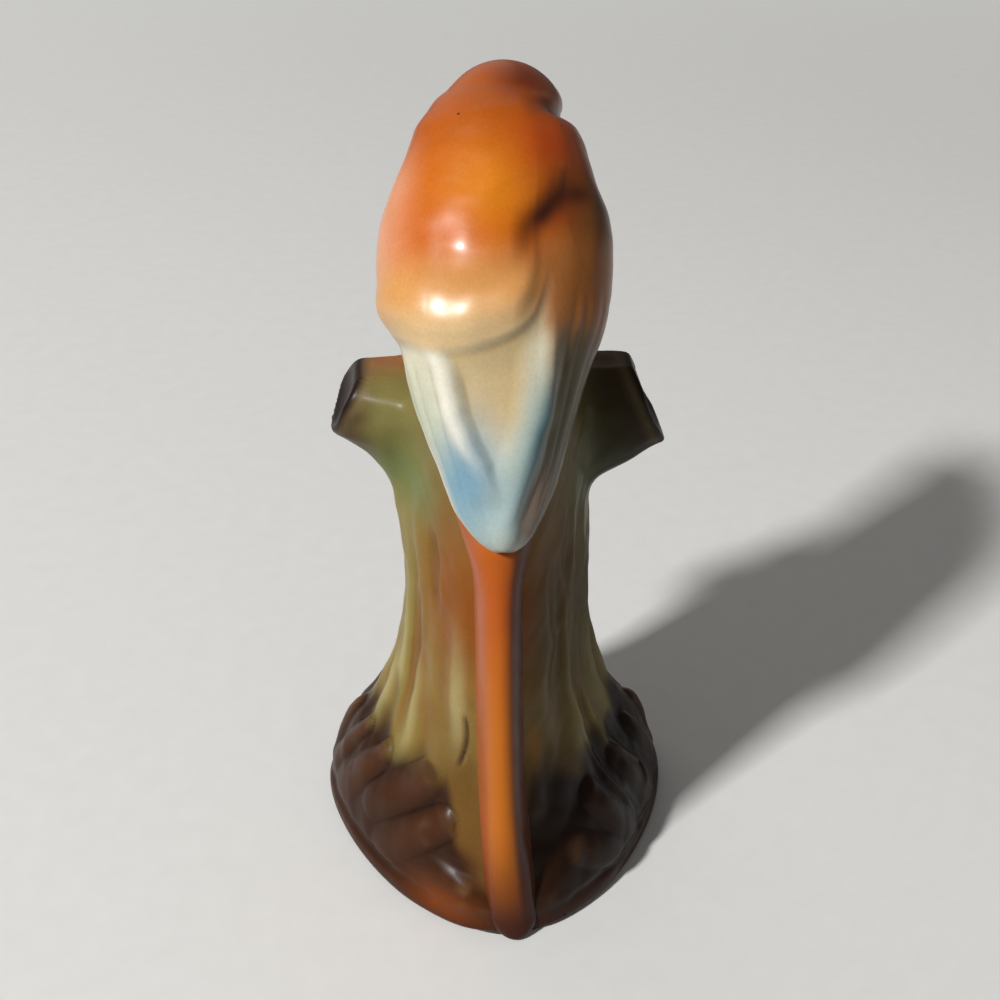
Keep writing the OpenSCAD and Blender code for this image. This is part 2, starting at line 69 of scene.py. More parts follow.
soft_lamp("key_lamp", (-0.595, -0.482, 0.643), distance=3.0, width=0.28, power=88)
soft_lamp("fill_lamp", (0.60, -0.75, 0.70), distance=1.4, width=0.9, power=0.3)
soft_lamp("front_lamp", (-0.35, 0.85, 0.65), distance=1.6, width=1.8, power=2.6)


def wire(tree, node, sockets):
    """Each named input is linked to an output, or to a node's first live output, or set to a plain value."""
    for socket, value in sockets.items():
        if isinstance(value, bpy.types.Node):
            value = next(output for output in value.outputs if output.enabled)
        if isinstance(value, bpy.types.NodeSocket):
            tree.links.new(value, node.inputs[socket])
        else:
            node.inputs[socket].default_value = value
    return node


def shader_node(tree, kind, sockets, **settings):
    """New node of one kind with its settings, wired to the nodes before it."""
    node = tree.nodes.new("ShaderNode" + kind)
    for setting, value in settings.items():
        setattr(node, setting, value)
    return wire(tree, node, sockets)


def own_place(tree):
    """Place of the shaded point in the piece's own coordinates."""
    return shader_node(tree, "TexCoord", {}).outputs["Object"]


pale_ground = (0.66, 0.655, 0.64, 1)
surround = bpy.data.worlds.new("surround")
stage.world = surround
surround.use_nodes = True
sky = surround.node_tree
sky.nodes.clear()
sky_ray = shader_node(sky, "LightPath", {})
seen_light = shader_node(sky, "Background", {"Color": pale_ground})
cast_light = shader_node(sky, "Background", {"Color": (1.0, 0.985, 0.96, 1), "Strength": 0.14})
sky_light = shader_node(sky, "MixShader", {
    "Fac": sky_ray.outputs["Is Camera Ray"], 1: cast_light, 2: seen_light,
})
shader_node(sky, "OutputWorld", {"Surface": sky_light})

floor_radius, floor_sides = 4.0, 96
floor_turn = np.linspace(0, 2 * np.pi, floor_sides, endpoint=False)
floor_ring = np.stack([np.cos(floor_turn), np.sin(floor_turn), 0 * floor_turn], -1) * floor_radius
floor_mesh = bpy.data.meshes.new("floor")
floor_mesh.from_pydata(floor_ring, [], [list(range(floor_sides))])
floor = bpy.data.objects.new("floor", floor_mesh)
stage.collection.objects.link(floor)

floor_paper = bpy.data.materials.new("floor_paper")
floor_paper.use_nodes = True
paper = floor_paper.node_tree
paper_place = own_place(paper)
paper_ray = shader_node(paper, "LightPath", {})
paper_grain = shader_node(paper, "TexNoise", {"Vector": paper_place, "Scale": 140, "Detail": 6})
paper_tone = shader_node(paper, "ValToRGB", {"Fac": paper_grain})
paper_tone.color_ramp.elements[0].color = (0.80, 0.795, 0.77, 1)
paper_tone.color_ramp.elements[1].color = (0.86, 0.855, 0.83, 1)
paper_dim = shader_node(paper, "Mix", {
    0: paper_ray.outputs["Is Diffuse Ray"], 6: paper_tone, 7: (0.36, 0.35, 0.33, 1),
}, data_type="RGBA")
paper_shader = wire(paper, paper.nodes["Principled BSDF"], {
    "Base Color": paper_dim, "Roughness": 0.9, "Specular IOR Level": 0.1,
})
paper_reach = shader_node(paper, "VectorMath", {0: paper_place}, operation="LENGTH")
paper_far = shader_node(paper, "MapRange", {
    "Value": paper_reach, "From Min": 0.45, "From Max": 1.7,
}, interpolation_type="SMOOTHSTEP")
paper_seen = shader_node(paper, "Math", {
    0: paper_far, 1: paper_ray.outputs["Is Camera Ray"],
}, operation="MULTIPLY")
paper_glow = shader_node(paper, "Emission", {"Color": pale_ground})
paper_blend = shader_node(paper, "MixShader", {
    "Fac": paper_seen, 1: paper_shader, 2: paper_glow,
})
wire(paper, paper.nodes["Material Output"], {"Surface": paper_blend})
floor_mesh.materials.append(floor_paper)

# Torso of the bird: a hollow cast body of earthenware that leans on the stump, rump down.
# Its skin runs on into the head, and mantle and wings are pressed on while the clay is wet.
MM = 0.001
back_lean = np.radians(59.5)
back_line = np.array([0, np.cos(back_lean), np.sin(back_lean)])
belly_line = np.array([0, np.sin(back_lean), -np.cos(back_lean)])
rump_tip = np.array([-1.3, -47.0, 112.6])
bird_length = 97.0
stations = np.array([0, 24, 56, 80, bird_length])
half_widths = np.array([1.2, 13.8, 21.7, 17.2, 12.0])
back_rises = np.array([2.0, 10, 15, 13, 9])
belly_depths = np.array([2.0, 20, 35, 27, 11])
tip_round = 3.0
head_centre = rump_tip + (bird_length - 11) * back_line + np.array([3.3, 7.3, 0])
head_turn = np.radians(8)
head_right = np.array([np.cos(head_turn), -np.sin(head_turn), 0])
head_ahead = np.array([np.sin(head_turn), np.cos(head_turn), 0])
head_up = np.array([0, 0, 1.0])
head_frame = np.stack([head_right, head_ahead, head_up])
head_radii = np.array([13.8, 16, 13.5])
head_level = (head_centre - rump_tip) @ back_line
neck_fillet = 9
neck_level, wing_start, mantle_edge = 86.0, 2.0, 43.0
ray_halvings, bird_ray = 36, 60.0


def mix(a, b, t):
    """Blend from a to b as t runs from 0 to 1."""
    return a + (b - a) * t


def ramp(low, high, x):
    """S-shaped ramp from 0 at low to 1 at high; low may be the larger."""
    t = np.clip((x - low) / (high - low), 0, 1)
    return t * t * (3 - 2 * t)


def band(x, rise_from, rise_to, fall_from, fall_to):
    """Ramp up and down again: 1 between the two inner limits, 0 outside the outer ones."""
    return ramp(rise_from, rise_to, x) * ramp(fall_to, fall_from, x)


def bell(x, width):
    """Bell curve of height 1 that is nearly gone at two widths."""
    return np.exp(-((x / width) ** 2))


def unit(v):
    """Vectors divided by their own length."""
    return v / np.maximum(np.linalg.norm(v, axis=-1, keepdims=True), 1e-12)


def smooth_curve(at, values, s):
    """Curve through a few stations: cubic pieces whose slopes join the neighbouring stations."""
    slopes = np.gradient(values) / np.gradient(at)
    i = np.clip(np.searchsorted(at, s, side="right") - 1, 0, len(at) - 2)
    step = at[i + 1] - at[i]
    u = np.clip((s - at[i]) / step, 0, 1)
    bow = u * (1 - u) * ((1 - u) * slopes[i] - u * slopes[i + 1])
    return mix(values[i], values[i + 1], u * u * (3 - 2 * u)) + step * bow


def soft_union(f, g, k):
    """Smaller of two distances, with a fillet where they differ by less than k."""
    h = np.clip(0.5 + 0.5 * (g - f) / k, 0, 1)
    return mix(g, f, h) - k * h * (1 - h)


def torso_field(p):
    """Distance outside the torso: oval sections across the back line, drawn in at nape and rump tip."""
    along, deep = (p - rump_tip) @ back_line, (p - rump_tip) @ belly_line
    tip_end = np.maximum(tip_round - along, 0) / (tip_round + 0.2)
    end = np.sqrt(np.clip(1 - tip_end**2, 1e-6, 1))
    width = smooth_curve(stations, half_widths, along) * end
    rise = smooth_curve(stations, back_rises, along) * end
    belly = smooth_curve(stations, belly_depths, along) * end
    oval_size = np.hypot((p[..., 0] - rump_tip[0]) / width, deep / np.where(deep < 0, rise, belly))
    past_nape = 0.14 * np.maximum(along - bird_length + 10, 0) ** 2
    return (oval_size - 1) * np.minimum(width, rise) + past_nape


def head_field(p):
    """Distance outside the head: a ball with three radii, turned aside, with fuller cheeks low down."""
    right, ahead, up = np.moveaxis((p - head_centre) @ head_frame.T / head_radii, -1, 0)
    cheek = 1 + 0.05 * np.sin(2 * np.arcsin(np.clip(-up, 0, 1)))
    return (np.sqrt((right / cheek) ** 2 + ahead**2 + up**2) - 1) * head_radii[2]


def bird_field(p):
    """Distance outside the bird without its feathers: torso and head with a fillet at the neck."""
    return soft_union(torso_field(p), head_field(p), neck_fillet)


def skin_along(origin, heading, field, longest):
    """Points where rays leave the clay: each ray is halved many times between its start and a far point."""
    near = np.zeros(heading.shape[:-1])
    far = np.full(heading.shape[:-1], longest)
    for _ in range(ray_halvings):
        middle = (near + far) / 2
        outside = field(origin + heading * middle[..., None]) > 0
        far = np.where(outside, middle, far)
        near = np.where(outside, near, middle)
    return origin + heading * near[..., None]


def round_normals(points):
    """Outward normals of a skin that closes round its axis: steps across times steps along the grid."""
    return unit(np.cross(np.roll(points, -1, 1) - np.roll(points, 1, 1), np.gradient(points, axis=0)))


def wing_gap(s):
    """Half gap between the wings: a V that opens from the rump and narrows again at the shoulders."""
    return mix(1.0, 14.0, ramp(10, 49, s)) - 5 * ramp(70, bird_length, s)


def row_near(row_levels, level):
    """Row of a grid that lies nearest to a level."""
    return np.argmin(np.abs(row_levels - level))


belly_columns, wing_columns, back_columns = 56, 84, 100
body_rows, crown_rows = 200, 46
crown_reach = np.linalg.norm(head_radii * (head_frame @ back_line))
crown_turns = np.radians(np.linspace(0, 89.5, crown_rows + 1)[1:])
levels = np.concatenate([
    np.linspace(0.05, head_level, body_rows), head_level + crown_reach * np.sin(crown_turns)
])
mantle_row, neck_row, wing_row = [row_near(levels, at) for at in (mantle_edge, neck_level, wing_start)]

inner = np.arcsin(np.minimum(wing_gap(levels) / smooth_curve(stations, half_widths, levels), 0.96))
reach_down = np.clip((levels - wing_start) / (neck_level - wing_start), 0, 0.5)
outer = np.radians(94 + 30 * np.sin(np.pi * reach_down))
borders = np.stack([-np.pi + 0 * inner, -outer, -inner, inner, outer, np.pi + 0 * inner], -1)
column_counts = [belly_columns, wing_columns, back_columns, wing_columns, belly_columns]
bird_turn = np.concatenate([
    mix(borders[:, k, None], borders[:, k + 1, None], np.linspace(0, 1, n, endpoint=False))
    for k, n in enumerate(column_counts)
], 1)
left_outer, left_inner, right_inner, right_outer = np.cumsum(column_counts)[:-1]

column = np.arange(bird_turn.shape[1])
back_share = np.clip((column - left_inner) / back_columns, 0, 1)
climb = 11 * ramp(0.62, 1, back_share) * ramp(right_outer, right_inner, column)
climb_keep = ramp(22, mantle_edge, levels) * ramp(80, mantle_edge, levels)
level = levels[:, None] + climb * climb_keep[:, None]

crown_lean = (head_radii**2 * (head_frame @ back_line) / crown_reach) @ head_frame
body_axis = rump_tip + level[..., None] * back_line
head_axis = head_centre + ((level - head_level) / crown_reach)[..., None] * crown_lean
axis_points = mix(body_axis, head_axis, ramp(72, 96, level)[..., None])
headings = np.sin(bird_turn)[..., None] * np.array([1.0, 0, 0]) - np.cos(bird_turn)[..., None] * belly_line
bird_base = skin_along(axis_points, headings, bird_field, bird_ray)
base_normals = round_normals(bird_base)

turn = np.degrees(bird_turn)
from_spine = np.abs(turn)
side = bird_base[..., 0] - rump_tip[0] + 2.4 * base_normals[..., 0]
left_crest = np.interp(
    level, [2, 9, 18, 22, 28, 34, 38, 44], [-1.2, -2.2, -4.6, -6.9, -9.4, -10.6, -11.4, -14]
)
right_crest = np.interp(level, [1, 5.5, 13, 20, 27, 35, 40, 56], [-0.3, 0.7, 3.3, 5.6, 8.1, 9.4, 9.7, 11])
off_left, off_right = side - left_crest, side - right_crest


def mantle_line(at_side):
    """Level of the mantle's lower edge: sagging left of the middle and turning up steeply on the right."""
    sides = np.array([-26, -19, -14, -8, -3, 1, 5, 7.5, 10])
    return smooth_curve(sides, np.array([45.4, 43, 41.3, 40.9, 41.8, 43.2, 45.4, 48.5, 55]), at_side)


slant = (mantle_line(side + 0.1) - mantle_line(side - 0.1)) / 0.2
past_edge = (level - mantle_line(side)) / np.sqrt(1 + slant**2)
edge_keep = ramp(10.8, 7.2, side)
below = ramp(1.1, -1.7, past_edge)
on_back = ramp(110, 86, from_spine)
behind = ramp(120, 80, from_spine)
outer_deg = np.degrees(outer)[:, None]
wing_rim = ramp(outer_deg + 1.5, outer_deg - 4.5, from_spine)
fade_up = 1 - ramp(mix(66, 76, ramp(-30, 30, turn)), 92, level)
tip_close = np.sqrt(1 - np.clip(1 - level / 4.5, 0, 1) ** 2)
panel_share = ramp(0.1, 2.6, off_left) * ramp(0.4, 7.5, -off_right)
right_fall = ramp(0.3, 4.5, off_right) * band(level, 1, 10, 36, 50) * behind
dent_line = np.interp(side, [0, 3, 6, 9, 12, 14.5, 18.5, 22], [60, 61.8, 63.4, 66.2, 69, 70.8, 70.6, 69.5])
past_dent = (level - dent_line) / 1.25
dent_share = bell(past_dent, np.where(past_dent > 0, 3.6, 5.5)) * band(side, 1.5, 8, 14, 20.5) * behind
past_crease = level - 91.2
nape_share = bell(past_crease, np.where(past_crease > 0, 1.7, 3.2)) * band(side, 6, 18, 24, 34) * behind
on_crown = ramp(94, 100, level)


def feather_lines(turns, slopes, low, high, depth):
    """Soft grooves between feathers: bell-shaped furrows at a few directions, drifting with the level."""
    flank_radius, groove_width, middle_level = 16, 0.75, 25
    furrows = sum(
        bell(np.radians(turn - at_turn - slope * (level - middle_level)) * flank_radius, groove_width)
        for at_turn, slope in zip(turns, slopes)
    )
    return -depth * furrows * ramp(low, low + 8, level) * (1 - ramp(high - 6, high, level))


def hand_worn(p, size):
    """Soft unevenness of clay finished by hand: bent waves in two slanting directions, from -1 to 1."""
    q = p / size
    first = np.sin(q @ [1.0, 0.6, -0.4] + 1.3 * np.sin(q @ [0.3, -0.9, 0.7]))
    second = np.sin(q @ [-0.5, 1.0, 0.8] + 1.1 * np.sin(q @ [0.8, 0.4, 0.5]))
    return (first + second) / 2


eye_turn, eye_rise = np.radians(40), np.radians(14)
eye_seats = [
    head_centre + head_radii * [
        flank * np.cos(eye_turn) * np.cos(eye_rise), np.sin(eye_turn) * np.cos(eye_rise), np.sin(eye_rise)
    ] @ head_frame
    for flank in (-1, 1)
]
eye_distance = np.minimum(*[np.linalg.norm(bird_base - seat, axis=-1) for seat in eye_seats])

feather_thick, covert_thick, step_depth, roll_height = 2.3, 0.9, 0.85, 1.8
spine_height, dome_height, panel_depth, fall_depth = 0.5, 1.4, 1.15, 0.9
left_ridge, right_ridge, dent_depth, nape_depth = 1.0, 0.6, 1.7, 2.1
left_groove, right_groove, eye_ring, eye_furrow = 0.26, 0.18, 0.55, 0.4
relief = sum([
    # wings: flight feathers and coverts, their grooves, and the fullness of rump, flank and shoulder
    feather_thick * wing_rim * tip_close * fade_up,
    covert_thick * ramp(30, 52, level) * fade_up * ramp(outer_deg, outer_deg - 8, from_spine),
    feather_lines([-58, -72, -84, -97], [0.08, 0.05, -0.05, -0.15], 6, 41, left_groove),
    feather_lines([50, 62, 74, 86, 98], [0.10, -0.06, -0.02, 0.06, 0.12], 6, 54, right_groove),
    1.9 * bell(level - 8.5, 8) * ramp(35, 80, from_spine) * tip_close * wing_rim,
    -1.9 * bell(level - 45, 8) * ramp(-50, -84, turn),
    0.9 * bell(level - 67, 7) * ramp(50, 78, turn) * wing_rim,
    # mantle: the step and the roll at its lower edge, the spine and the low dome of the back
    -step_depth * mix(0.7, 1, ramp(-14, 2, side)) * below * edge_keep * on_back * ramp(18, 36, level),
    roll_height * bell(past_edge - 5, 4.4) * ramp(9, 2, side) * on_back,
    spine_height * bell(side, 9) * band(level, 46, 56, 72, 86) * on_back,
    dome_height * bell(side + 1, 9.5) * bell(level - 58, 6.5) * on_back,
    # rump: the sunken panel between two crests, and the fall beyond the right one
    -panel_depth * panel_share * ramp(7, 22, level) * ramp(1, -8, past_edge) * edge_keep,
    left_ridge * bell(off_left + 1.0, 2.2) * band(level, 8, 20, 38, 44),
    right_ridge * bell(off_right, 2.0) * band(level, 0, 8, 38, 50),
    -fall_depth * right_fall,
    # creases of shoulder and nape, and the soft fill on the left of the nape
    -dent_depth * dent_share,
    -nape_depth * nape_share,
    bell(level - 94, 2.6) * bell(turn + 70, 30),
    # ring and furrow round each eye, and the unevenness of hand-finished clay
    eye_ring * bell(eye_distance - 3.5, 0.8) - eye_furrow * bell(eye_distance - 5.3, 0.9),
    (0.18 * hand_worn(bird_base, 4.2) + 0.07 * hand_worn(bird_base, 1.5)) * mix(1, 0.2, on_crown),
    -0.12 * on_crown,
])
tip_stretch = 1.5 * np.clip(1 - level / 6, 0, 1) ** 2
bird_points = bird_base + relief[..., None] * base_normals - tip_stretch[..., None] * back_line
bird_normals = round_normals(bird_points)


def pooling(points, normals, cells):
    """How far each point of a round skin lies below the mean of its neighbours a few cells away, in mm."""
    rows = np.arange(len(points))
    up, down = points[np.minimum(rows + cells, rows[-1])], points[np.maximum(rows - cells, 0)]
    mean = (up + down + np.roll(points, cells, 1) + np.roll(points, -cells, 1)) / 4
    return ((mean - points) * normals).sum(-1)


def pigment(code):
    """Linear colour of a pigment that is written as a screen colour."""
    screen = np.array([int(code[i:i + 2], 16) for i in (1, 3, 5)]) / 255
    return np.where(screen <= 0.04045, screen / 12.92, ((screen + 0.055) / 1.055) ** 2.4)


def airbrush(ground, coats):
    """Colour of a ground pigment under airbrushed coats: each is blended in as strongly as its mask says."""
    colour = pigment(ground)
    for code, mask in coats:
        colour = mix(colour, pigment(code), np.clip(mask, 0, 1)[..., None])
    return colour


def patch(at_side, at_level, side_width, level_width):
    """Soft round airbrush spot on the bird's back."""
    return bell(np.hypot((side - at_side) / side_width, (level - at_level) / level_width), 1)


bird_pool = pooling(bird_points, bird_normals, 3) - pooling(bird_base, base_normals, 3)
streaks = np.cos(bird_turn * 34 + 2 * np.sin(level / 9)) * 0.5 + 0.5
# painted light: a painted sheen on the lit left flank, and painted shade on the right flank
lit_left_flank = band(turn, -140, -100, -84, -46)
shaded_right_flank = band(turn, 26, 60, 105, 140)
# painted shade in the shoulder crease, with some glaze pooled there
dent_shade_and_pool = bell(past_dent - 0.4, 2.5) * band(side, 2, 10, 16, 22) * behind
right_wedge = ramp(3, 7, side) * ramp(40, 47, level)
shaded_right_rim = ramp(1.2, 3.6, off_right) * band(level, 0.5, 4, 11, 22) * behind
bird_colour = airbrush("#c8610e", [
    # belly, crown, nape and the orange back, with painted shade on the right side of the crown
    ("#e39a3c", ramp(95, 140, from_spine) * ramp(84, 60, level)),
    ("#e6c483", ramp(100, 150, from_spine) * ramp(62, 30, level)),
    ("#b3560f", 0.9 * ramp(73, 88, level)),
    ("#dd8212", 0.85 * patch(-1.5, 72.5, 10.5, 9)),
    ("#b23f10", 0.8 * patch(12, 81, 8, 8)),
    # painted shade on the right side of the crown
    ("#6a2509", 0.92 * patch(8.5, 97, 9, 6)),
    # flanks: peach on the left flank, part its own colour and part a painted sheen of the lit side, and dark
    # olive-brown painted shade on the right flank; and the back as it pales towards the mantle's edge
    ("#e7a47e", 0.9 * lit_left_flank * ramp(88, 72, level)),
    ("#dca05c", 0.9 * behind * ramp(64, 52, level)),
    ("#e3c796", 0.85 * behind * ramp(53, 43, level)),
    ("#5f3f18", 0.92 * shaded_right_flank * ramp(86, 68, level)),
    ("#735a2b", 0.8 * shaded_right_flank * ramp(60, 40, level)),
    ("#6b431c", 0.35 * shaded_right_flank * streaks**3 * ramp(76, 62, level)),
    # painted shade in the creases of shoulder and nape, partly glaze pooled there, and the brown beside the
    # mantle
    ("#8a3a10", 0.8 * dent_share * ramp(5, 0, past_dent)),
    ("#34120a", dent_shade_and_pool * (0.8 + 0.2 * hand_worn(bird_base, 2.2))),
    ("#6c240a", 0.75 * nape_share),
    ("#a4622a", 0.85 * ramp(5, 9.5, side) * band(level, 40, 47, 58, 66) * behind),
    # cream rump, with painted grey shade under the mantle's edge and painted olive shade on the fall beyond
    # the right crest
    ("#e2d9bd", behind * below * edge_keep * (1 - 0.85 * right_wedge)),
    ("#9a977e", 0.55 * bell(past_edge + 1.4, 1.6) * ramp(-22, 0, side) * edge_keep * on_back),
    ("#c9cdb2", 0.85 * behind * ramp(44, 30, level) * ramp(-44, -70, turn)),
    ("#7c7248", 0.9 * behind * ramp(46, 26, level) * right_fall),
    ("#d0b27a", 0.85 * panel_share * ramp(16, 30, level) * below),
    # blue wash of the flight feathers with their pale rims; painted shade in dark teal, olive and brown
    # beyond the right crest and on the right rim; painted highlight along the left crest
    ("#b4cccb", 0.85 * behind * ramp(26, 10, level)),
    ("#6b9bb4", 0.9 * patch(-8.0, 16, 6.6, 12)),
    ("#9fb4ae", 0.7 * bell(off_right + 2.0, 2.6) * bell(level - 24, 13) * behind),
    # painted shade: dark bands beyond the right crest and on the right rim
    ("#41727f", 0.9 * bell(off_right - 0.8, 2.4) * bell(level - 23, 14) * behind),
    ("#e6dcc0", 0.85 * behind * ramp(-70, -90, turn) * ramp(32, 18, level)),
    ("#4e462c", 0.8 * right_fall * ramp(2, 16, level) * ramp(1.5, 5, off_right)),
    ("#bcc6bc", 0.7 * behind * ramp(6, 1, level)),
    ("#7a6250", 0.85 * shaded_right_rim),
    # painted highlight along the left crest, where the lamp falls
    ("#f4efdf", 0.75 * bell(off_left + 1.5, 1.7) * ramp(14, 26, level) * below * behind),
    # glaze that pools in hollows and thins on edges, and the skin round the eyes
    ("#7a5a34", 0.4 * ramp(0.02, 0.3, bird_pool) * behind),
    ("#f0e4c8", 0.15 * ramp(-0.02, -0.25, bird_pool) * behind),
    ("#e0b886", 0.5 * ramp(7.5, 3.6, eye_distance)),
    ("#3a2014", 0.85 * bell(eye_distance - 3.1, 0.8)),
])
bird_skin = (bird_points, bird_colour, bird_normals)


def glaze_group(name, inputs, output, output_kind):
    """Empty shader group with named inputs and one output: the group, its inputs and its end."""
    group = bpy.data.node_groups.new(name, "ShaderNodeTree")
    for socket, (kind, value) in inputs.items():
        made = group.interface.new_socket(socket, in_out="INPUT", socket_type="NodeSocket" + kind)
        made.default_value = value
    group.interface.new_socket(output, in_out="OUTPUT", socket_type="NodeSocket" + output_kind)
    return group, group.nodes.new("NodeGroupInput").outputs, group.nodes.new("NodeGroupOutput")


def number(tree, operation, first, second):
    """Outcome of one operation on two values, each from another node or a plain number."""
    return shader_node(tree, "Math", {0: first, 1: second}, operation=operation)


# Sprayed grain: fine cloudy changes of strength in the airbrushed colour, and larger soft drifts
grain_group, grain_in, grain_out = glaze_group(
    "sprayed_grain", {"Colour": ("Color", (1, 1, 1, 1)), "Strength": ("Float", 0.1)}, "Colour", "Color"
)
fine_share, grain_mean = 1.1, 1.05
grain_place = own_place(grain_group)
fine_grain = shader_node(grain_group, "TexNoise", {"Vector": grain_place, "Scale": 1500, "Detail": 3})
broad_grain = shader_node(grain_group, "TexNoise", {"Vector": grain_place, "Scale": 130, "Detail": 5})
fine_part = number(grain_group, "MULTIPLY", fine_grain, fine_share)
grain_sum = number(grain_group, "ADD", fine_part, broad_grain)
grain_even = number(grain_group, "SUBTRACT", grain_sum, grain_mean)
grain_swing = number(grain_group, "MULTIPLY", grain_even, grain_in["Strength"])
grain_level = number(grain_group, "ADD", grain_swing, 1.0)
grain_tint = shader_node(
    grain_group, "VectorMath", {0: grain_in["Colour"], "Scale": grain_level}, operation="SCALE"
)
wire(grain_group, grain_out, {"Colour": grain_tint})

# Kiln specks: small dark iron spots scattered in the glaze
speck_group, speck_in, speck_out = glaze_group(
    "kiln_specks", {"Size": ("Float", 0.05), "Share": ("Float", 0.3)}, "Mask", "Float"
)
speck_cells = shader_node(speck_group, "TexVoronoi", {"Vector": own_place(speck_group), "Scale": 110})
speck_pick = shader_node(speck_group, "SeparateColor", {"Color": speck_cells.outputs["Color"]})
speck_chosen = number(speck_group, "LESS_THAN", speck_pick.outputs["Red"], speck_in["Share"])
speck_radius = number(speck_group, "MULTIPLY", speck_pick.outputs["Green"], speck_in["Size"])
speck_inside = number(speck_group, "LESS_THAN", speck_cells.outputs["Distance"], speck_radius)
wire(speck_group, speck_out, {"Mask": number(speck_group, "MULTIPLY", speck_chosen, speck_inside)})

# Glaze ripple: the faint unevenness of a fired glaze, as a height
ripple_group, ripple_in, ripple_out = glaze_group(
    "glaze_ripple", {"Scale": ("Float", 400.0)}, "Height", "Float"
)
ripple_noise = shader_node(
    ripple_group, "TexNoise", {"Vector": own_place(ripple_group), "Scale": ripple_in["Scale"], "Detail": 4}
)
wire(ripple_group, ripple_out, {"Height": ripple_noise})

speck_brown = (0.03, 0.02, 0.015, 1)
ripple_scale, ripple_height, satin_low, satin_high, coat_share = 260, 0.0004, 0.06, 0.26, 0.65


def glaze(name, gloss, grain, speck_share, ripple, shine=0.29):
    """Airbrushed glaze: the piece's own spray colours with grain and specks, under a clear satin coat."""
    material = bpy.data.materials.new(name)
    material.use_nodes = True
    tree = material.node_tree
    colours = shader_node(tree, "VertexColor", {}, layer_name="spray")
    grained = shader_node(tree, "Group", {"Colour": colours, "Strength": grain}, node_tree=grain_group)
    specks = shader_node(tree, "Group", {"Share": speck_share}, node_tree=speck_group)
    speckled = shader_node(tree, "Mix", {0: specks, 6: grained, 7: speck_brown}, data_type="RGBA")
    ripples = shader_node(tree, "Group", {"Scale": ripple_scale}, node_tree=ripple_group)
    satin = shader_node(tree, "MapRange", {
        "Value": ripples, "To Min": gloss + satin_low, "To Max": gloss + satin_high,
    })
    bump = shader_node(tree, "Bump", {"Height": ripples, "Strength": ripple, "Distance": ripple_height})
    wire(tree, tree.nodes["Principled BSDF"], {
        "Base Color": speckled,
        "Roughness": satin,
        "Normal": bump,
        "IOR": 1.5,
        "Specular IOR Level": shine,
        "Coat Weight": coat_share * shine,
        "Coat Roughness": gloss,
    })
    return material


def quads(index):
    """Faces between neighbouring rows and columns of a table of vertex numbers."""
    return np.stack([index[:-1, :-1], index[:-1, 1:], index[1:, 1:], index[1:, :-1]], -1).reshape(-1, 4)


def round_skin(points, colours, normals=None, low_pole=None, high_pole=None):
    """Closed skin round an axis: rings of points, each end drawn in to a pole."""
    normals = round_normals(points) if normals is None else normals
    rows, columns = points.shape[:2]
    index = np.arange(rows * columns).reshape(rows, columns)
    following = np.roll(index, -1, 1)
    low = np.full(columns, rows * columns)
    low_pole = points[0].mean(0) if low_pole is None else low_pole
    high_pole = points[-1].mean(0) if high_pole is None else high_pole
    end_normals = unit(np.stack([low_pole - points[1].mean(0), high_pole - points[-2].mean(0)]))
    colours = np.broadcast_to(colours, points.shape)
    return (
        np.concatenate([points.reshape(-1, 3), [low_pole, high_pole]]),
        np.concatenate([colours.reshape(-1, 3), colours[[0, -1], 0]]),
        np.concatenate([normals.reshape(-1, 3), end_normals]),
        quads(np.hstack([index, index[:, :1]])),
        np.concatenate([
            np.stack([index[0], low, following[0]], -1), np.stack([index[-1], following[-1], low + 1], -1)
        ]),
    )


def from_edge(rows, columns):
    """How many cells each point of a block lies inside the edge of the block."""
    row, col = [np.minimum(np.arange(n), np.arange(n)[::-1]) for n in (rows, columns)]
    return np.minimum(row[:, None], col)


slip, fair_cells, press_depth = 0.2, 6, 1.6


def pressed_skin(skin, block, depth):
    """Pressed piece: its face is a block of a skin, its back the same block sunk by depth inside its edge."""
    points, colours, normals = [part[block].reshape(-1, 3) for part in skin]
    rows, columns = skin[0][block].shape[:2]
    inside = from_edge(rows, columns)
    back = points - normals * (depth * ramp(0, fair_cells, inside)).reshape(-1, 1)
    face_index = np.arange(rows * columns).reshape(rows, columns)
    back_index = np.where(inside == 0, face_index, face_index + rows * columns)
    return (
        np.concatenate([points, back]),
        np.concatenate([colours, colours]),
        np.concatenate([normals, -normals]),
        np.concatenate([quads(face_index), quads(back_index)[:, ::-1]]),
        np.zeros((0, 3), int),
    )


def bedded(skin, beds):
    """Points of a skin with beds for the pressed pieces: each block lies lower by its depth and the slip."""
    points, _, normals = skin
    sunk = np.zeros(points.shape[:2])
    for block, depth in beds:
        sunk[block] = (depth + slip) * ramp(0, fair_cells, from_edge(*sunk[block].shape))
    return points - sunk[..., None] * normals


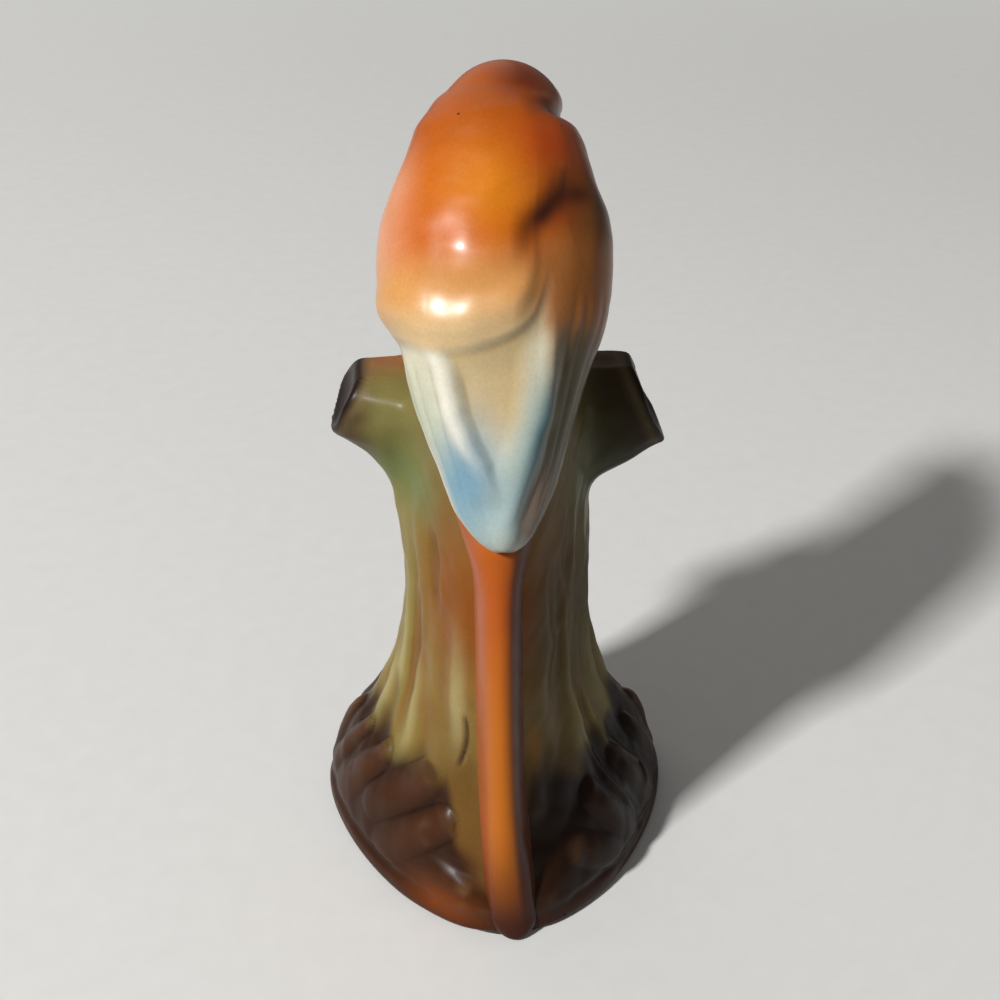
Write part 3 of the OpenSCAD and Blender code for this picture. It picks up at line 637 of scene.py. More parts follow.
def fire(name, skins, material):
    """Finished piece from whole arrays: skins of points in mm, colours, normals, quads and triangles."""
    first = np.cumsum([0] + [len(skin[0]) for skin in skins])
    points, colours, normals = [np.concatenate([skin[k] for skin in skins]) for k in range(3)]
    faces, caps = [np.concatenate([skin[k] + n for skin, n in zip(skins, first)]) for k in (3, 4)]
    used, corners = np.unique(np.concatenate([faces.ravel(), caps.ravel()]), return_inverse=True)
    starts = np.concatenate([4 * np.arange(len(faces)), 4 * len(faces) + 3 * np.arange(len(caps))])
    mesh = bpy.data.meshes.new(name)
    mesh.vertices.add(len(used))
    mesh.vertices.foreach_set("co", (points[used] * MM).astype(np.float32).ravel())
    mesh.loops.add(len(corners))
    mesh.loops.foreach_set("vertex_index", corners.astype(np.int32).ravel())
    mesh.polygons.add(len(starts))
    mesh.polygons.foreach_set("loop_start", starts.astype(np.int32))
    mesh.polygons.foreach_set("use_smooth", np.ones(len(starts), bool))
    mesh.update(calc_edges=True)
    layer = mesh.color_attributes.new("spray", "FLOAT_COLOR", "POINT")
    opaque = np.concatenate([colours[used], np.ones((len(used), 1))], 1)
    layer.data.foreach_set("color", opaque.astype(np.float32).ravel())
    mesh.normals_split_custom_set_from_vertices(normals[used])
    mesh.materials.append(material)
    piece = bpy.data.objects.new(name, mesh)
    stage.collection.objects.link(piece)
    return piece


def set_in_place(piece, node):
    """The piece, which already carries its finish, stands for its node, whose imported part is hidden, and
    rides on the one body.
    """
    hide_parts(node)
    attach(piece, "root")


def press_on(skin, blocks, depth, material):
    """Pressed pieces of one kind, each on its own block of a skin."""
    for node, block in blocks.items():
        set_in_place(fire(node + "_skin", [pressed_skin(skin, block, depth)], material), node)


mantle_block = {"mantle": np.s_[mantle_row:neck_row + 1, left_inner:right_inner + 1]}
wing_blocks = {
    "left_wing": np.s_[wing_row:neck_row + 1, left_outer:left_inner + 1],
    "right_wing": np.s_[wing_row:neck_row + 1, right_inner:right_outer + 1],
}
bird_beds = [(block, press_depth) for block in (mantle_block | wing_blocks).values()]
torso_points = bedded(bird_skin, bird_beds)[:neck_row + 1]
neck_centre, neck_dish = torso_points[-1].mean(0), 0.3 * back_line
body_glaze = glaze("body_glaze", 0.19, 0.22, 0.22, 0.10)
torso_skin = round_skin(
    torso_points, bird_colour[:neck_row + 1], bird_normals[:neck_row + 1], high_pole=neck_centre - neck_dish
)
set_in_place(fire("torso_skin", [torso_skin], body_glaze), "torso")

# Mantle: the feathered back between the wings, pressed clay with a soft rolled lower edge.
# It is luted to the torso with slip, and its lower edge climbs on the right under the wing.
mantle_glaze = glaze("mantle_glaze", 0.19, 0.20, 0.22, 0.10)
press_on(bird_skin, mantle_block, press_depth, mantle_glaze)

# Wings: a pair of folded wings from shoulder to rump tip, pressed clay with shallow feather grooves.
# Each lies on the flank of the torso, bonded with slip, and its lower edge stands a little proud.
wing_glaze = glaze("wing_glaze", 0.17, 0.22, 0.22, 0.10)
press_on(bird_skin, wing_blocks, press_depth, wing_glaze)

# Head: a rounded cast head that is turned a little to its right and set on the nape.
# The joint is sponged smooth before glazing, so that the colour runs across it.
head_glaze = glaze("head_glaze", 0.18, 0.22, 0.22, 0.10)
head_skin = round_skin(*[part[neck_row:] for part in bird_skin], low_pole=neck_centre + neck_dish)
set_in_place(fire("head_skin", [head_skin], head_glaze), "head")

# Bill: a hooked upper bill and a short lower bill, modelled solid and luted to the face.
# Both have a horn-coloured glaze that darkens to the tip.
bill_radius, bill_width, bill_deep = 9.5, 11.0, 0.42
jaw_width, jaw_deep = 8.0, 0.36
hook_rings, hook_columns, jaw_rings, jaw_columns = 60, 48, 36, 40
bill_tip = "#4a3a2c"
bill_glaze = glaze("bill_glaze", 0.08, 0.12, 0.06, 0.06)


def in_head(right, ahead, up):
    """Place of points given in the head's own directions."""
    return head_centre + np.stack(np.broadcast_arrays(right, ahead, up), -1) @ head_frame


def bar_skin(line, widths, depths, across, columns):
    """Bar: an oval profile carried along a line, its width in the direction across."""
    over = unit(np.cross(unit(np.gradient(line, axis=0)), across))
    round_turn = np.linspace(0, 2 * np.pi, columns, endpoint=False)[None, :, None]
    wide = widths[:, None, None] * np.cos(round_turn) * across
    deep = depths[:, None, None] * np.sin(round_turn) * over[:, None, :]
    return line[:, None, :] + wide + deep


hook = np.linspace(0, 1, hook_rings)
hook_turn = np.radians(mix(125, -52, hook))
hook_size = bill_width * np.sqrt(1 - 0.985 * hook**1.7) * ramp(-0.25, 0.12, hook)
hook_ahead = head_radii[1] - 3.5 + bill_radius * np.cos(hook_turn)
hook_up = -head_radii[2] + 4.5 + bill_radius * np.sin(hook_turn)
hook_line = in_head(0, hook_ahead, hook_up)
jaw = np.linspace(0, 1, jaw_rings)
jaw_size = jaw_width * np.sqrt(1 - 0.97 * jaw**2)
jaw_line = in_head(0, head_radii[1] - 6 + 8 * jaw, -head_radii[2] + 5 - 4.5 * jaw + 1.5 * jaw**2)
bills = {
    "upper_bill": (
        bar_skin(hook_line, hook_size / 2, hook_size * bill_deep, head_right, hook_columns),
        airbrush("#d9c692", [(bill_tip, ramp(0.55, 0.98, hook)[:, None])]),
    ),
    "lower_bill": (
        bar_skin(jaw_line, jaw_size / 2, jaw_size * jaw_deep, head_right, jaw_columns),
        airbrush("#b99f6c", [(bill_tip, ramp(0.4, 1, jaw)[:, None])]),
    ),
}
for bill_name, (bill_points, bill_colour) in bills.items():
    bill = fire(bill_name + "_skin", [round_skin(bill_points, bill_colour)], bill_glaze)
    set_in_place(bill, bill_name)

# Eyes: two clay buttons pressed into the sides of the head, inside a raised ring.
# They are painted black with a thin amber iris, under a bright gloss.
eye_radius = 2.5
eye_inset = 1 - 1.4 / head_radii[0]
eye_rings, eye_columns = 33, 40
eye_glaze = glaze("eye_glaze", 0.04, 0.05, 0.0, 0.02)
lift = np.radians(np.linspace(-88, 88, eye_rings))[:, None, None]
eye_round = np.linspace(0, 2 * np.pi, eye_columns, endpoint=False)[None, :, None]
eye_colour = airbrush("#140e0b", [("#c78a2c", bell(np.degrees(lift[..., 0]) - 38, 8))])
for eye_name, seat in zip(("left_eye", "right_eye"), eye_seats):
    outward = unit(seat - head_centre)
    sideways = unit(np.cross(head_up, outward))
    eye_rim = np.cos(eye_round) * sideways + np.sin(eye_round) * np.cross(outward, sideways)
    eye_centre = head_centre + eye_inset * (seat - head_centre)
    eye_points = eye_centre + eye_radius * (np.cos(lift) * eye_rim + np.sin(lift) * outward)
    eye = fire(eye_name + "_button", [round_skin(eye_points, eye_colour)], eye_glaze)
    set_in_place(eye, eye_name)

# Stump: a hollow cast tree stump that flares to a broad foot, with the seat of the bird in its top.
# The underside is ground flat and left bare, with a round vent from the casting.
perch_height = 132.0
foot_half, foot_back, foot_front, foot_shift = 44.5, 60.0, 35.0, 5.0
waist_half, waist_back, waist_front = 22.5, 39.0, 20.0
flare_height, keel_flare, keel_power = 36.0, 27.0, 1.6
perch_round, foot_round, perch_fillet = 6.0, 1.5, 4
arm_reach, arm_height, arm_sweep, arm_depth = 46.0, 115.5, 17.5, 14.0
left_arm_height, left_arm_sweep = 123.0, 27.5
saw_reach, right_lean, left_lean, saw_fillet = 31.6, np.radians(23.5), np.radians(31), 1.4
dish_depth, dish_radius, dish_down = 2.2, 9.0, 11.5
seat_bedding = 1.0
vent_back, vent_radius, vent_deep = 18.0, 5.0, 5.0
ray_level, stump_ray = 112.0, 90.0


def flare(z, height):
    """Bell curve that carries the flare of the foot up into the waist."""
    return np.exp(-((z / height) ** 2))


def rim_loss(radius, inside):
    """Reach that is lost on a quarter-round rim, at a distance inside its end."""
    return np.where(inside < radius, radius - np.sqrt(np.maximum(radius**2 - (radius - inside) ** 2, 0)), 0)


def oval(heading, half_side, half_end, power):
    """Distance from the centre of a rounded outline to its edge in one direction."""
    across, ahead = np.abs(np.cos(heading) / half_side), np.abs(np.sin(heading) / half_end)
    return (across**power + ahead**power) ** (-1 / power)


def trunk_reach(z, foot, waist, height):
    """Reach of one side of the trunk, from the flared foot to the rounded perch."""
    rims = rim_loss(perch_round, perch_height - z) + rim_loss(foot_round, np.maximum(z, 0))
    return mix(waist, foot, flare(z, height)) - rims


def stump_reach(heading, z):
    """Distance of the skin from the axis: eighth-power sum of the trunk's and the branches' ovals."""
    half_side = trunk_reach(z, foot_half, waist_half, flare_height)
    keel = oval(heading, half_side, trunk_reach(z, foot_back, waist_back, keel_flare), keel_power)
    front = oval(heading, half_side, trunk_reach(z, foot_front, waist_front, flare_height), 2)
    trunk = np.where(np.sin(heading) < 0, keel, front)
    left = ramp(0.3, -0.3, np.cos(heading))
    arm_middle = mix(arm_height, left_arm_height, left)
    drop = np.maximum(arm_middle - z, 0)
    up = np.maximum(z - arm_middle, 0) / (perch_height - arm_middle + 1.5)
    length = arm_reach * np.exp(-((drop / mix(arm_sweep, left_arm_sweep, left)) ** mix(1.5, 1.2, left)))
    depth = arm_depth * flare(drop, 30) * np.sqrt(np.maximum(1 - up**2, 1e-4))
    arms = oval(heading, np.maximum(length, 0.01), depth, 2)
    return (trunk**8 + arms**8) ** (1 / 8)


def soft_cut(f, g, k):
    """Larger of two distances, with a rounded edge where they differ by less than k."""
    return -soft_union(-f, -g, k)


def saw_planes(p):
    """Distance outside the two sawn faces as plain leaning planes, and the way down along each face."""
    out, up = np.abs(p[..., 0]) - saw_reach, p[..., 2] - perch_height
    lean = np.where(p[..., 0] < 0, left_lean, right_lean)
    return out * np.cos(lean) + up * np.sin(lean), out * np.sin(lean) - up * np.cos(lean)


def saw_cut(p):
    """Distance outside the two sawn faces: a leaning plane on each side, less a round dish in its middle."""
    plane, down_face = saw_planes(p)
    from_middle = np.hypot(p[..., 1], down_face - dish_down) / dish_radius
    return plane + dish_depth * np.clip(1 - from_middle**2, 0, 1)


def stump_field(p):
    """Distance outside the stump: its skin, cut by the perch, the sawn faces and the seat of the bird."""
    x, z = p[..., 0], p[..., 2]
    y = p[..., 1] - foot_shift * flare(z, flare_height)
    body = soft_cut(np.hypot(x, y) - stump_reach(np.arctan2(y, x), z), z - perch_height, perch_fillet)
    return np.maximum(soft_cut(body, saw_cut(p), saw_fillet), -bird_field(p) - seat_bedding)


column_knots = [270, 284, 328, 357, 363, 392, 446, 454, 508, 537, 543, 572, 616, 630]
knot_columns = [12, 54, 36, 6, 30, 40, 6, 40, 30, 6, 36, 54, 12]
column_deg = np.concatenate([
    np.linspace(column_knots[k], column_knots[k + 1], n, endpoint=False) for k, n in enumerate(knot_columns)
])
column_at = dict(zip(column_knots, np.cumsum([0] + knot_columns)))
stump_turn = np.radians(column_deg)
root_rows, trunk_rows, perch_rows = 86, 60, 64
trunk_levels = np.concatenate([
    [0.0, 0.25, 0.7], np.linspace(1.3, 46, root_rows), np.linspace(47, ray_level, trunk_rows)
])
perch_rises = np.radians(np.linspace(0, 89.5, perch_rows + 1)[1:])
ray_levels = np.concatenate([trunk_levels, np.full(perch_rows, ray_level)])
ray_rises = np.concatenate([0 * trunk_levels, perch_rises])[:, None, None]
ray_shift = foot_shift * flare(ray_levels, flare_height)
ray_starts = np.stack([0 * ray_levels, ray_shift, ray_levels], -1)[:, None, :]
level_heading = np.stack([np.cos(stump_turn), np.sin(stump_turn), 0 * stump_turn], -1)
ray_headings = np.cos(ray_rises) * level_heading + np.sin(ray_rises) * np.array([0, 0, 1.0])
stump_base = skin_along(ray_starts, ray_headings, stump_field, stump_ray)
stump_base_normals = round_normals(stump_base)

stump_x, stump_y, height = np.moveaxis(stump_base, -1, 0)
stump_deg = column_deg % 360
tail_side_deg = (column_deg - 270 + 180) % 360 - 180
from_tail = np.abs(tail_side_deg)
fold_deg = np.minimum(from_tail, 180 - from_tail)
root_level = height + 0.7 * (np.sin(3 * stump_turn + np.radians(40)) + np.sin(5 * stump_turn))


def lobe(start_turn, start_level, tip_turn, tip_level, start_half, tip_half):
    """Height of a root lobe from 0 to 1: a domed, tapered bar on the skin that rises to its round tip."""
    foot_reach = 42
    across = np.radians((stump_deg - start_turn + 180) % 360 - 180) * foot_reach
    above = height - start_level
    run, climb_up = np.radians(tip_turn - start_turn) * foot_reach, tip_level - start_level
    t = np.clip((across * run + above * climb_up) / (run**2 + climb_up**2), 0, 1)
    off = np.hypot(across - t * run, above - t * climb_up) / mix(start_half, tip_half, t)
    return np.clip(1 - off**2, 0, 1) ** 1.1 * mix(0.45, 1, ramp(0, 0.85, t))


def leaf(middle_turn, low, high, half, lean):
    """Depth of a leaf-shaped hollow from 0 to 1: widest in the middle, pointed at its ends, leaning aside."""
    bark_reach = 30
    t = (height - low) / (high - low)
    across = np.radians((stump_deg - middle_turn - lean * (t - 0.5) + 180) % 360 - 180) * bark_reach
    width = 1.35 * half * np.sqrt(np.clip(np.sin(np.pi * np.clip(t, 0, 1)), 1e-4, 1))
    return np.clip(1 - (across / width) ** 2, 0, 1) ** 1.5 * band(t, 0, 0.3, 0.7, 1)


def low_line(at_levels, at_turns, width):
    """Nearness to a line on the skin that is given by its direction at a few heights."""
    root_reach, low, high = 36, at_levels[0], at_levels[-1]
    off = np.radians(stump_deg - np.interp(height, at_levels, at_turns)) * root_reach
    return bell(off, width) * band(height, low - 2, low + 1, high - 4, high + 6)


lobe_sizes = [
    (196, 10, 210, 27.5, 6.5, 4.6), (218, 18, 239, 31.8, 6.0, 5.2), (228, 10, 249, 24.2, 5.2, 4.3),
    (182, 12, 190, 28, 4.4, 3.4), (336, 8, 326, 26, 5.4, 4.6), (316, 8, 303, 25, 4.6, 4.4),
    (312, 4, 292, 16, 4.4, 4.0), (352, 10, 347, 26, 5.0, 3.8), (20, 8, 30, 28, 5.4, 4.4),
    (44, 6, 56, 24, 5.0, 4.2), (66, 5, 78, 20, 4.4, 3.8), (8, 8, 10, 22, 4.6, 3.6),
    (160, 8, 150, 29, 5.4, 4.4), (136, 6, 124, 25, 5.0, 4.2), (114, 5, 102, 19, 4.4, 3.8),
    (172, 8, 170, 24, 4.6, 3.6),
]
hollow_sizes = [
    (302, 84, 114, 2.4, 4), (312, 48, 80, 3.4, 6), (292, 72, 100, 2.4, -3), (331, 24, 46, 3.4, -12),
    (235, 76, 104, 2.6, -3), (217, 52, 86, 3.2, 6), (186, 14, 38, 3.4, -14), (199, 26, 50, 3.2, -8),
    (60, 46, 82, 3.4, -6), (123, 44, 78, 3.4, 6), (91, 54, 96, 3.6, 3), (38, 64, 96, 2.8, -5),
    (142, 62, 94, 2.8, 5),
]
lobes = np.maximum.reduce([lobe(*sizes) for sizes in lobe_sizes])
hollows = np.maximum.reduce([leaf(*sizes) for sizes in hollow_sizes])
low_fold = lobe(238, 13, 258, 12.5, 4.6, 3.2) ** 1.5
tail_lobes = np.maximum(lobe(261, 50, 263, 32, 3.0, 4.4), lobe(281, 46, 279, 30, 3.0, 4.0)) ** 1.6
root_lines = np.maximum(
    low_line([2, 10, 24, 36, 56, 79], [326, 322, 314, 311, 301, 299], 1.1),
    low_line([3, 13, 19, 31, 49], [341, 334, 336, 323, 319], 1.0),
)
apron_top = np.interp(fold_deg, [0, 12, 20, 27, 40, 59, 75, 90], [10, 15, 21, 26, 25, 23, 26, 30])
apron = 1 - ramp(-6, 3, root_level - apron_top)
stain_right = np.interp(from_tail, [0, 4, 9, 18, 30, 40, 60, 75, 90], [12, 28, 39, 38, 34, 34, 31, 33, 38])
stain_left = np.interp(fold_deg, [0, 8, 14, 18, 22, 45, 59, 75, 90], [10, 14, 20, 28, 36, 34, 31, 31, 34])
stain_top = np.where((tail_side_deg > 0) & (tail_side_deg < 90), stain_right, stain_left)
stain = 1 - ramp(-5, 5, root_level - stain_top + 3 * hand_worn(stump_base, 3.0))
stain = np.maximum(stain, 0.75 * ramp(0.02, 0.4, lobes))
bark_wave = (
    0.55 * np.cos(13 * stump_turn + 0.6 * np.sin(height / 14))
    + 0.3 * np.cos(21 * stump_turn + 1.3 + 0.8 * np.sin(height / 9 + 1))
    + 0.25 * np.cos(7 * stump_turn + 2.2)
)
bark_keep = band(height, 16, 40, 84, 112) * ramp(7, 20, from_tail)
crack_turn = np.radians(column_deg - (613.6 + 0.10 * (height - 47) + 1.2 * np.sin((height - 41) / 4)))
crack = bell(crack_turn * 35, 0.55) * band(height, 38, 42, 52, 56)
behind_saw = -saw_planes(stump_base)[0]
past_stub_line = height - (122.5 + 0.16 * (stump_x + 38))
stub_fold = -0.6 * bell(past_stub_line, 2.6) + 0.35 * bell(past_stub_line + 4, 2.6)
on_left_stub = ramp(-24, -33, stump_x) * ramp(2, -4, stump_y) * ramp(1.2, 4.0, behind_saw)

apron_thick, lobe_height, tail_lobe_height, fold_height, line_height = 1.1, 1.7, 0.6, 0.9, 0.8
hollow_depth, bark_height, crack_depth, tail_bed, elbow_height = 0.75, 0.95, 0.7, 2.2, 1.5
stump_relief = sum([
    # pressed roots on the foot, and the plain flange of its rim
    apron_thick * apron * ramp(4.0, 8.0, height),
    lobe_height * lobes * ramp(4.0, 7.0, height),
    tail_lobe_height * tail_lobes,
    fold_height * low_fold,
    line_height * root_lines * ramp(6, 15, height),
    mix(0.2, 1.5, ramp(8, 34, from_tail)) * ramp(6.4, 3.8, height) * ramp(-0.6, 2.0, height),
    # bark of the trunk, and the bed of the tail's end
    -hollow_depth * hollows,
    bark_height * bark_wave * bark_keep * (1 - 0.85 * np.maximum(apron, lobes)),
    -crack_depth * crack,
    -tail_bed * bell(from_tail, 8.5) * ramp(22, 5, height),
    # fold and elbow of the left branch, and the unevenness of hand-finished clay
    stub_fold * on_left_stub,
    elbow_height * bell(height - 97, 8) * bell(stump_deg - 180, 32),
    (0.3 * hand_worn(stump_base, 3.6) + 0.1 * hand_worn(stump_base, 1.5))
    * ramp(2, 7, height) * ramp(-1, 3, behind_saw),
])
trunk_points = stump_base + stump_relief[..., None] * stump_base_normals
trunk_points[..., 2] = np.maximum(trunk_points[..., 2], 0)
trunk_points[0, :, 2] = 0

underside_rings = 8
vent_ring = vent_radius * level_heading - [0, vent_back, 0]
in_share = np.linspace(1, 0, underside_rings + 1)[:-1, None, None]
vent_wall = np.stack([vent_ring + [0, 0, vent_deep], vent_ring + [0, 0, 0.4]])
stump_points = np.concatenate([vent_wall, mix(trunk_points[0], vent_ring, in_share), trunk_points])
below_rows = len(vent_wall) + underside_rings
stump_normals = round_normals(stump_points)
stump_normals[len(vent_wall):below_rows] = [0, 0, -1.0]


def stump_spot(at_turn, at_height, turn_width, height_width):
    """Soft oval airbrush spot on the trunk."""
    return bell(np.hypot((stump_deg - at_turn) / turn_width, (height - at_height) / height_width), 1)


rightward, frontward = np.cos(stump_turn), np.sin(stump_turn)
in_shade = ramp(-0.1, 0.5, rightward) * ramp(0.3, -0.3, frontward)
shaded_right_side = ramp(0.0, 0.3, rightward) * ramp(0.2, -0.2, frontward)
ridge = np.clip(bark_wave, -1, 1) * bark_keep
base_pool = pooling(stump_base, stump_base_normals, 2)
stump_pool = pooling(trunk_points, round_normals(trunk_points), 2) - base_pool
off_saw = ramp(1.5, 4.0, behind_saw)
reach_out = np.abs(stump_x)
sawn = ramp(26, 29, reach_out) * ramp(-2.4, -0.3, saw_cut(stump_base))
saw_rim = bell(behind_saw - 1.6, 1.6) * ramp(26, 30, reach_out) * (1 - sawn)
stump_colour = airbrush("#8f7e42", [
    # olive bark, rust beside the tail, pale ridges and brown furrows, and painted shade on the trunk's right
    # side
    ("#7b7444", 0.9 * ramp(92, 112, height)),
    ("#8c4a0c", 0.95 * ramp(66, 20, from_tail) * bell(height - 86, 30)),
    ("#b5a772", 0.9 * ramp(0.0, 0.9, ridge) * bell(height - 50, 22)),
    ("#80501f", 0.8 * ramp(0.0, -0.8, ridge) * bell(height - 56, 26)),
    ("#6a4a1d", 0.92 * bell(height - 34, 16) * ramp(60, 16, from_tail)),
    ("#6a4520", 0.5 * hollows),
    ("#cdbf8c", 0.5 * root_lines),
    ("#b0762a", 0.8 * stump_spot(281, 48, 3.5, 6)),
    ("#8a5a2a", 0.7 * stump_spot(224, 66, 6, 12)),
    ("#8a5a2a", 0.5 * stump_spot(232, 48, 9, 6)),
    # painted shade on the trunk's right side
    ("#453c18", 0.8 * shaded_right_side * bell(height - 78, 38)),
    ("#623615", 0.88 * ramp(38, 14, height) * bell(stump_deg - 258, 11)),
    # dark stain of the roots, with painted shade that makes it darkest on the right and dims the lobes and
    # edges there, and glaze pooled in hollows or thin on edges
    ("#351e11", stain),
    ("#150b07", 0.9 * stain * in_shade),
    ("#55321e", 0.6 * lobes * stain * (1 - 0.75 * in_shade)),
    ("#1e0f09", ramp(0.015, 0.32, stump_pool) * mix(0.35, 0.8, stain) * off_saw),
    ("#a8865a", 0.3 * ramp(-0.03, -0.35, stump_pool) * (1 - 0.7 * in_shade) * off_saw),
    ("#3d2012", 0.8 * ramp(7.5, 3.5, height)),
    ("#8a4416", 0.7 * bell(stump_deg - 253, 11) * bell(height - 6, 5)),
    ("#3a2414", 0.8 * crack),
    # green under the branches, rust on the perch, dark stub ends and sawn faces, and painted shade on the
    # right stub
    ("#6f7d40", 0.75 * band(reach_out, 12, 20, 26, 34) * bell(height - 110, 9)),
    ("#a8632e", 0.8 * ramp(128.5, 131.5, height) * ramp(-9, 5, stump_y)),
    ("#4c3826", 0.9 * ramp(25, 36, reach_out) * ramp(98, 106, height)),
    # painted shade on the right stub
    ("#261b12", 0.85 * ramp(10, 26, stump_x) * ramp(92, 108, height)),
    ("#22150f", sawn),
    ("#9a8460", 0.3 * saw_rim),
])
bare_clay = np.broadcast_to(pigment("#d8c8a8"), (below_rows,) + stump_colour.shape[1:])
stump_skin = (stump_points, np.concatenate([bare_clay, stump_colour]), stump_normals)


def stump_block(low_row, high_row, first, last):
    """Block of the stump's grid between two rows of the skin and two of its named directions."""
    return np.s_[below_rows + low_row:below_rows + high_row + 1, column_at[first]:column_at[last] + 1]


arm_low, arm_high = row_near(trunk_levels, 103), len(trunk_levels) + row_near(np.degrees(perch_rises), 42)
root_low, root_high = row_near(trunk_levels, 2.0), row_near(trunk_levels, 44.0)
branch_depth, root_depth = 1.8, 1.6
branch_blocks = {
    "left_branch": stump_block(arm_low, arm_high, 508, 572),
    "right_branch": stump_block(arm_low, arm_high, 328, 392),
}
root_blocks = {
    "back_left_roots": stump_block(root_low, root_high, 543, 616),
    "back_right_roots": stump_block(root_low, root_high, 284, 357),
    "front_left_roots": stump_block(root_low, root_high, 454, 537),
    "front_right_roots": stump_block(root_low, root_high, 363, 446),
}
stump_beds = [(block, branch_depth) for block in branch_blocks.values()]
stump_beds += [(block, root_depth) for block in root_blocks.values()]
trunk_glaze = glaze("trunk_glaze", 0.22, 0.22, 0.12, 0.16, shine=0.1)
trunk_skin = round_skin(bedded(stump_skin, stump_beds), *stump_skin[1:], low_pole=vent_wall[0].mean(0))
set_in_place(fire("stump_skin", [trunk_skin], trunk_glaze), "stump")

# Branch stubs: two short sawn-off branches beside the perch, with slanting, slightly dished cut faces.
# They are luted to the trunk on flat joints, and glazed olive green running into dark brown.
branch_glaze = glaze("branch_glaze", 0.22, 0.22, 0.12, 0.16, shine=0.1)
press_on(stump_skin, branch_blocks, branch_depth, branch_glaze)

# Root aprons: four lobed sheets of clay pressed round the foot, two beside the tail and two in front.
# Their rounded lobes lie over the trunk, and the dark brown glaze is thinner and redder at the rim.
root_glaze = glaze("root_glaze", 0.22, 0.22, 0.12, 0.16, shine=0.1)
press_on(stump_skin, root_blocks, root_depth, root_glaze)

# Tail: one long straight tail that runs from under the rump down the keel to the rim of the foot.
# It is a rolled bar of clay, luted along its whole length, with a rounded end on the rim.
tail_width, tail_root_width = 10.6, 22.0
tail_low, tail_top, tail_round = 0.5, rump_tip[2] + 6, 5.5
tail_rings, tail_columns = 170, 72
tail_level = mix(tail_low, tail_top, np.linspace(0, 1, tail_rings) ** 1.15)
end_round = np.sqrt(np.clip(1 - 0.9 * np.maximum(1 - tail_level / tail_round, 0) ** 2, 0, 1))
under_rump = ramp(rump_tip[2] - 26, rump_tip[2] + 8, tail_level) ** 2
tail_half = mix(tail_width, tail_root_width, under_rump) / 2 * end_round
tail_half = tail_half * mix(1.17, 1.04, ramp(0, 70, tail_level))
tail_shift = foot_shift * flare(tail_level, flare_height)
keel_face = stump_reach(0 * tail_level + 1.5 * np.pi, tail_level) - tail_shift
tail_face = mix(foot_back - foot_shift, waist_back + 7, tail_level / rump_tip[2])
tail_face = tail_face - 0.5 * rim_loss(2.5, tail_level) - 4.5 * ramp(rump_tip[2] - 4, tail_top, tail_level)
tail_face = np.maximum(tail_face, keel_face + 0.4)
tail_drift = 3.2 * np.exp(-tail_level / 25) - 1.8
tail_turn = np.linspace(0, 2 * np.pi, tail_columns, endpoint=False)
tail_side, tail_out = np.cos(tail_turn), np.sin(tail_turn)
tail_x = tail_drift[:, None] + tail_half[:, None] * tail_side
tail_z = np.broadcast_to(tail_level[:, None], tail_x.shape)
tail_starts = np.stack([tail_x, 0 * tail_x, tail_z], -1)
straight_back = np.broadcast_to([0, -1.0, 0], tail_starts.shape)
behind_tail = skin_along(tail_starts, straight_back, stump_field, stump_ray)[..., 1]
bedding = 0.5 + tail_bed * ramp(22, 5, tail_z)
tail_edge = np.minimum(-behind_tail[:, :1], -behind_tail[:, tail_columns // 2, None]) - bedding
tail_sink = ramp(tail_top - 14, tail_top - 1, tail_z) * ramp(0.4, 0.95, np.abs(tail_side))
tail_front = -mix(tail_edge, tail_face[:, None], np.abs(tail_out) ** 0.9)
tail_front = mix(tail_front, behind_tail + bedding, tail_sink)
tail_back = np.maximum(-tail_edge + 1.5 * np.abs(tail_out), behind_tail + 1.0)
tail_y = np.where(tail_out < 0, tail_front, tail_back)
tail_y = tail_y + 0.12 * hand_worn(np.stack([tail_x, tail_y, tail_z], -1), 3.0) * ramp(0, 6, tail_z)
tail_points = np.stack([tail_x, tail_y, tail_z], -1)
tail_colour = airbrush("#c06a1a", [
    ("#b8541a", 0.8 * bell(tail_z - 98, 20)),
    # painted reflection on the left edge, and painted shade with dark glaze on the right side
    ("#ad5a34", 0.8 * ramp(-0.5, -0.9, tail_side)),
    ("#41170c", 0.9 * ramp(0.2, 0.55, tail_side)),
    ("#4a1e0f", 0.9 * ramp(36, 4, tail_z)),
    ("#34150c", 0.8 * ramp(13, 2, tail_z)),
    ("#8c4a10", 0.9 * tail_sink),
    ("#b08a68", 0.5 * bell(tail_side - 0.985, 0.015)),
])
tail_glaze = glaze("tail_glaze", 0.2, 0.14, 0.12, 0.10, shine=0.14)
tail = fire("tail_bar", [round_skin(tail_points, tail_colour)], tail_glaze)
set_in_place(tail, "tail")

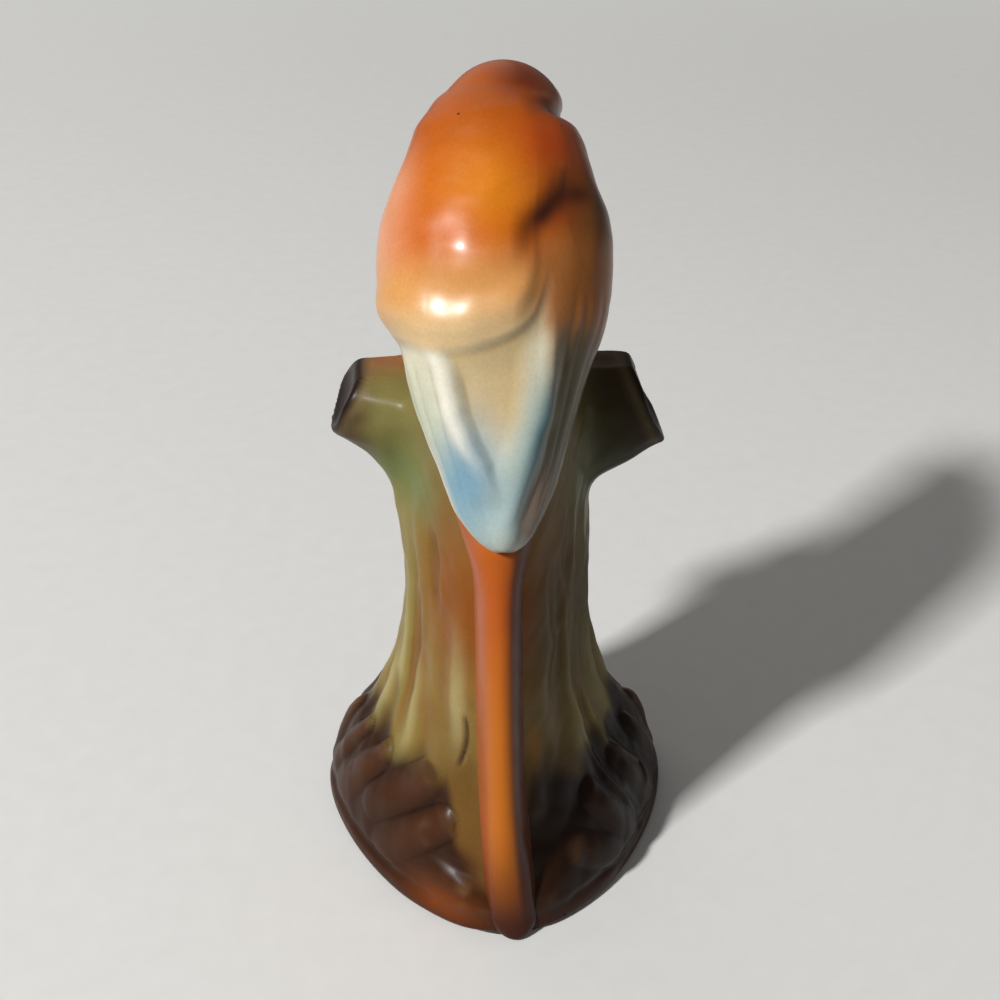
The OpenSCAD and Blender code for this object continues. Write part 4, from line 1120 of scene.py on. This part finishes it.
# Feet: two feathered legs, each with two front toes curled over the rim of the perch.
# They are rolled coils of clay, bonded to belly and perch with slip.
foot_side, toe_thick, toe_spread, leg_thick = 8.0, 4.0, 5.0, 12.0
leg_rings, leg_columns, toe_rings, toe_columns = 30, 36, 48, 30
toe_start, toe_bend = 0.2, perch_round + toe_thick * 0.3
ankle_y, ankle_z = waist_front - perch_round - 7, perch_height + toe_thick * 0.45
foot_ground = "#8a7658"
foot_glaze = glaze("foot_glaze", 0.16, 0.2, 0.1, 0.2)
leg, toe = np.linspace(0, 1, leg_rings), np.linspace(0, 1, toe_rings)
leg_half = mix(leg_thick, toe_thick * 1.1, np.sqrt(leg)) / 2 * np.sqrt(1 - 0.9 * ramp(0.85, 1, leg))
leg_colour = airbrush(foot_ground, [("#b98238", ramp(0.9, 0.35, leg)[:, None])])
toe_half = toe_thick / 2 * np.sqrt(1 - 0.97 * toe**5) * (1 - 0.05 * np.cos(2 * np.pi * 6 * toe))
toe_colour = airbrush(foot_ground, [("#3c2c1e", 0.85 * ramp(0.84, 0.95, toe)[:, None])])
curl = np.radians(mix(90, -25, np.maximum(toe - toe_start, 0) / (1 - toe_start)))


def coil(line, half, columns, colour):
    """Rolled coil of clay: a round bar carried along a line in the plane of the leg."""
    return round_skin(bar_skin(line, half, half, np.array([1.0, 0, 0]), columns), colour)


for foot_name, flank in (("left_foot", -1), ("right_foot", 1)):
    middle = rump_tip[0] + flank * foot_side
    leg_line = np.stack([middle + 0 * leg, ankle_y - 6 * (1 - leg), ankle_z + 12 * (1 - leg) - 1.5 * leg], -1)
    coils = [coil(leg_line, leg_half, leg_columns, leg_colour)]
    for toe_place in (middle - toe_spread / 2, middle + toe_spread / 2):
        rim_y = waist_front * np.sqrt(1 - (toe_place / waist_half) ** 2) - perch_round
        over_rim = rim_y + toe_bend * np.cos(curl)
        toe_line = np.stack([
            mix(middle, toe_place, ramp(0, 0.4, toe)),
            np.where(toe < toe_start, mix(ankle_y, rim_y, toe / toe_start), over_rim),
            perch_height - perch_round + toe_bend * np.sin(curl),
        ], -1)
        coils.append(coil(toe_line, toe_half, toe_columns, toe_colour))
    set_in_place(fire(foot_name + "_coils", coils, foot_glaze), foot_name)
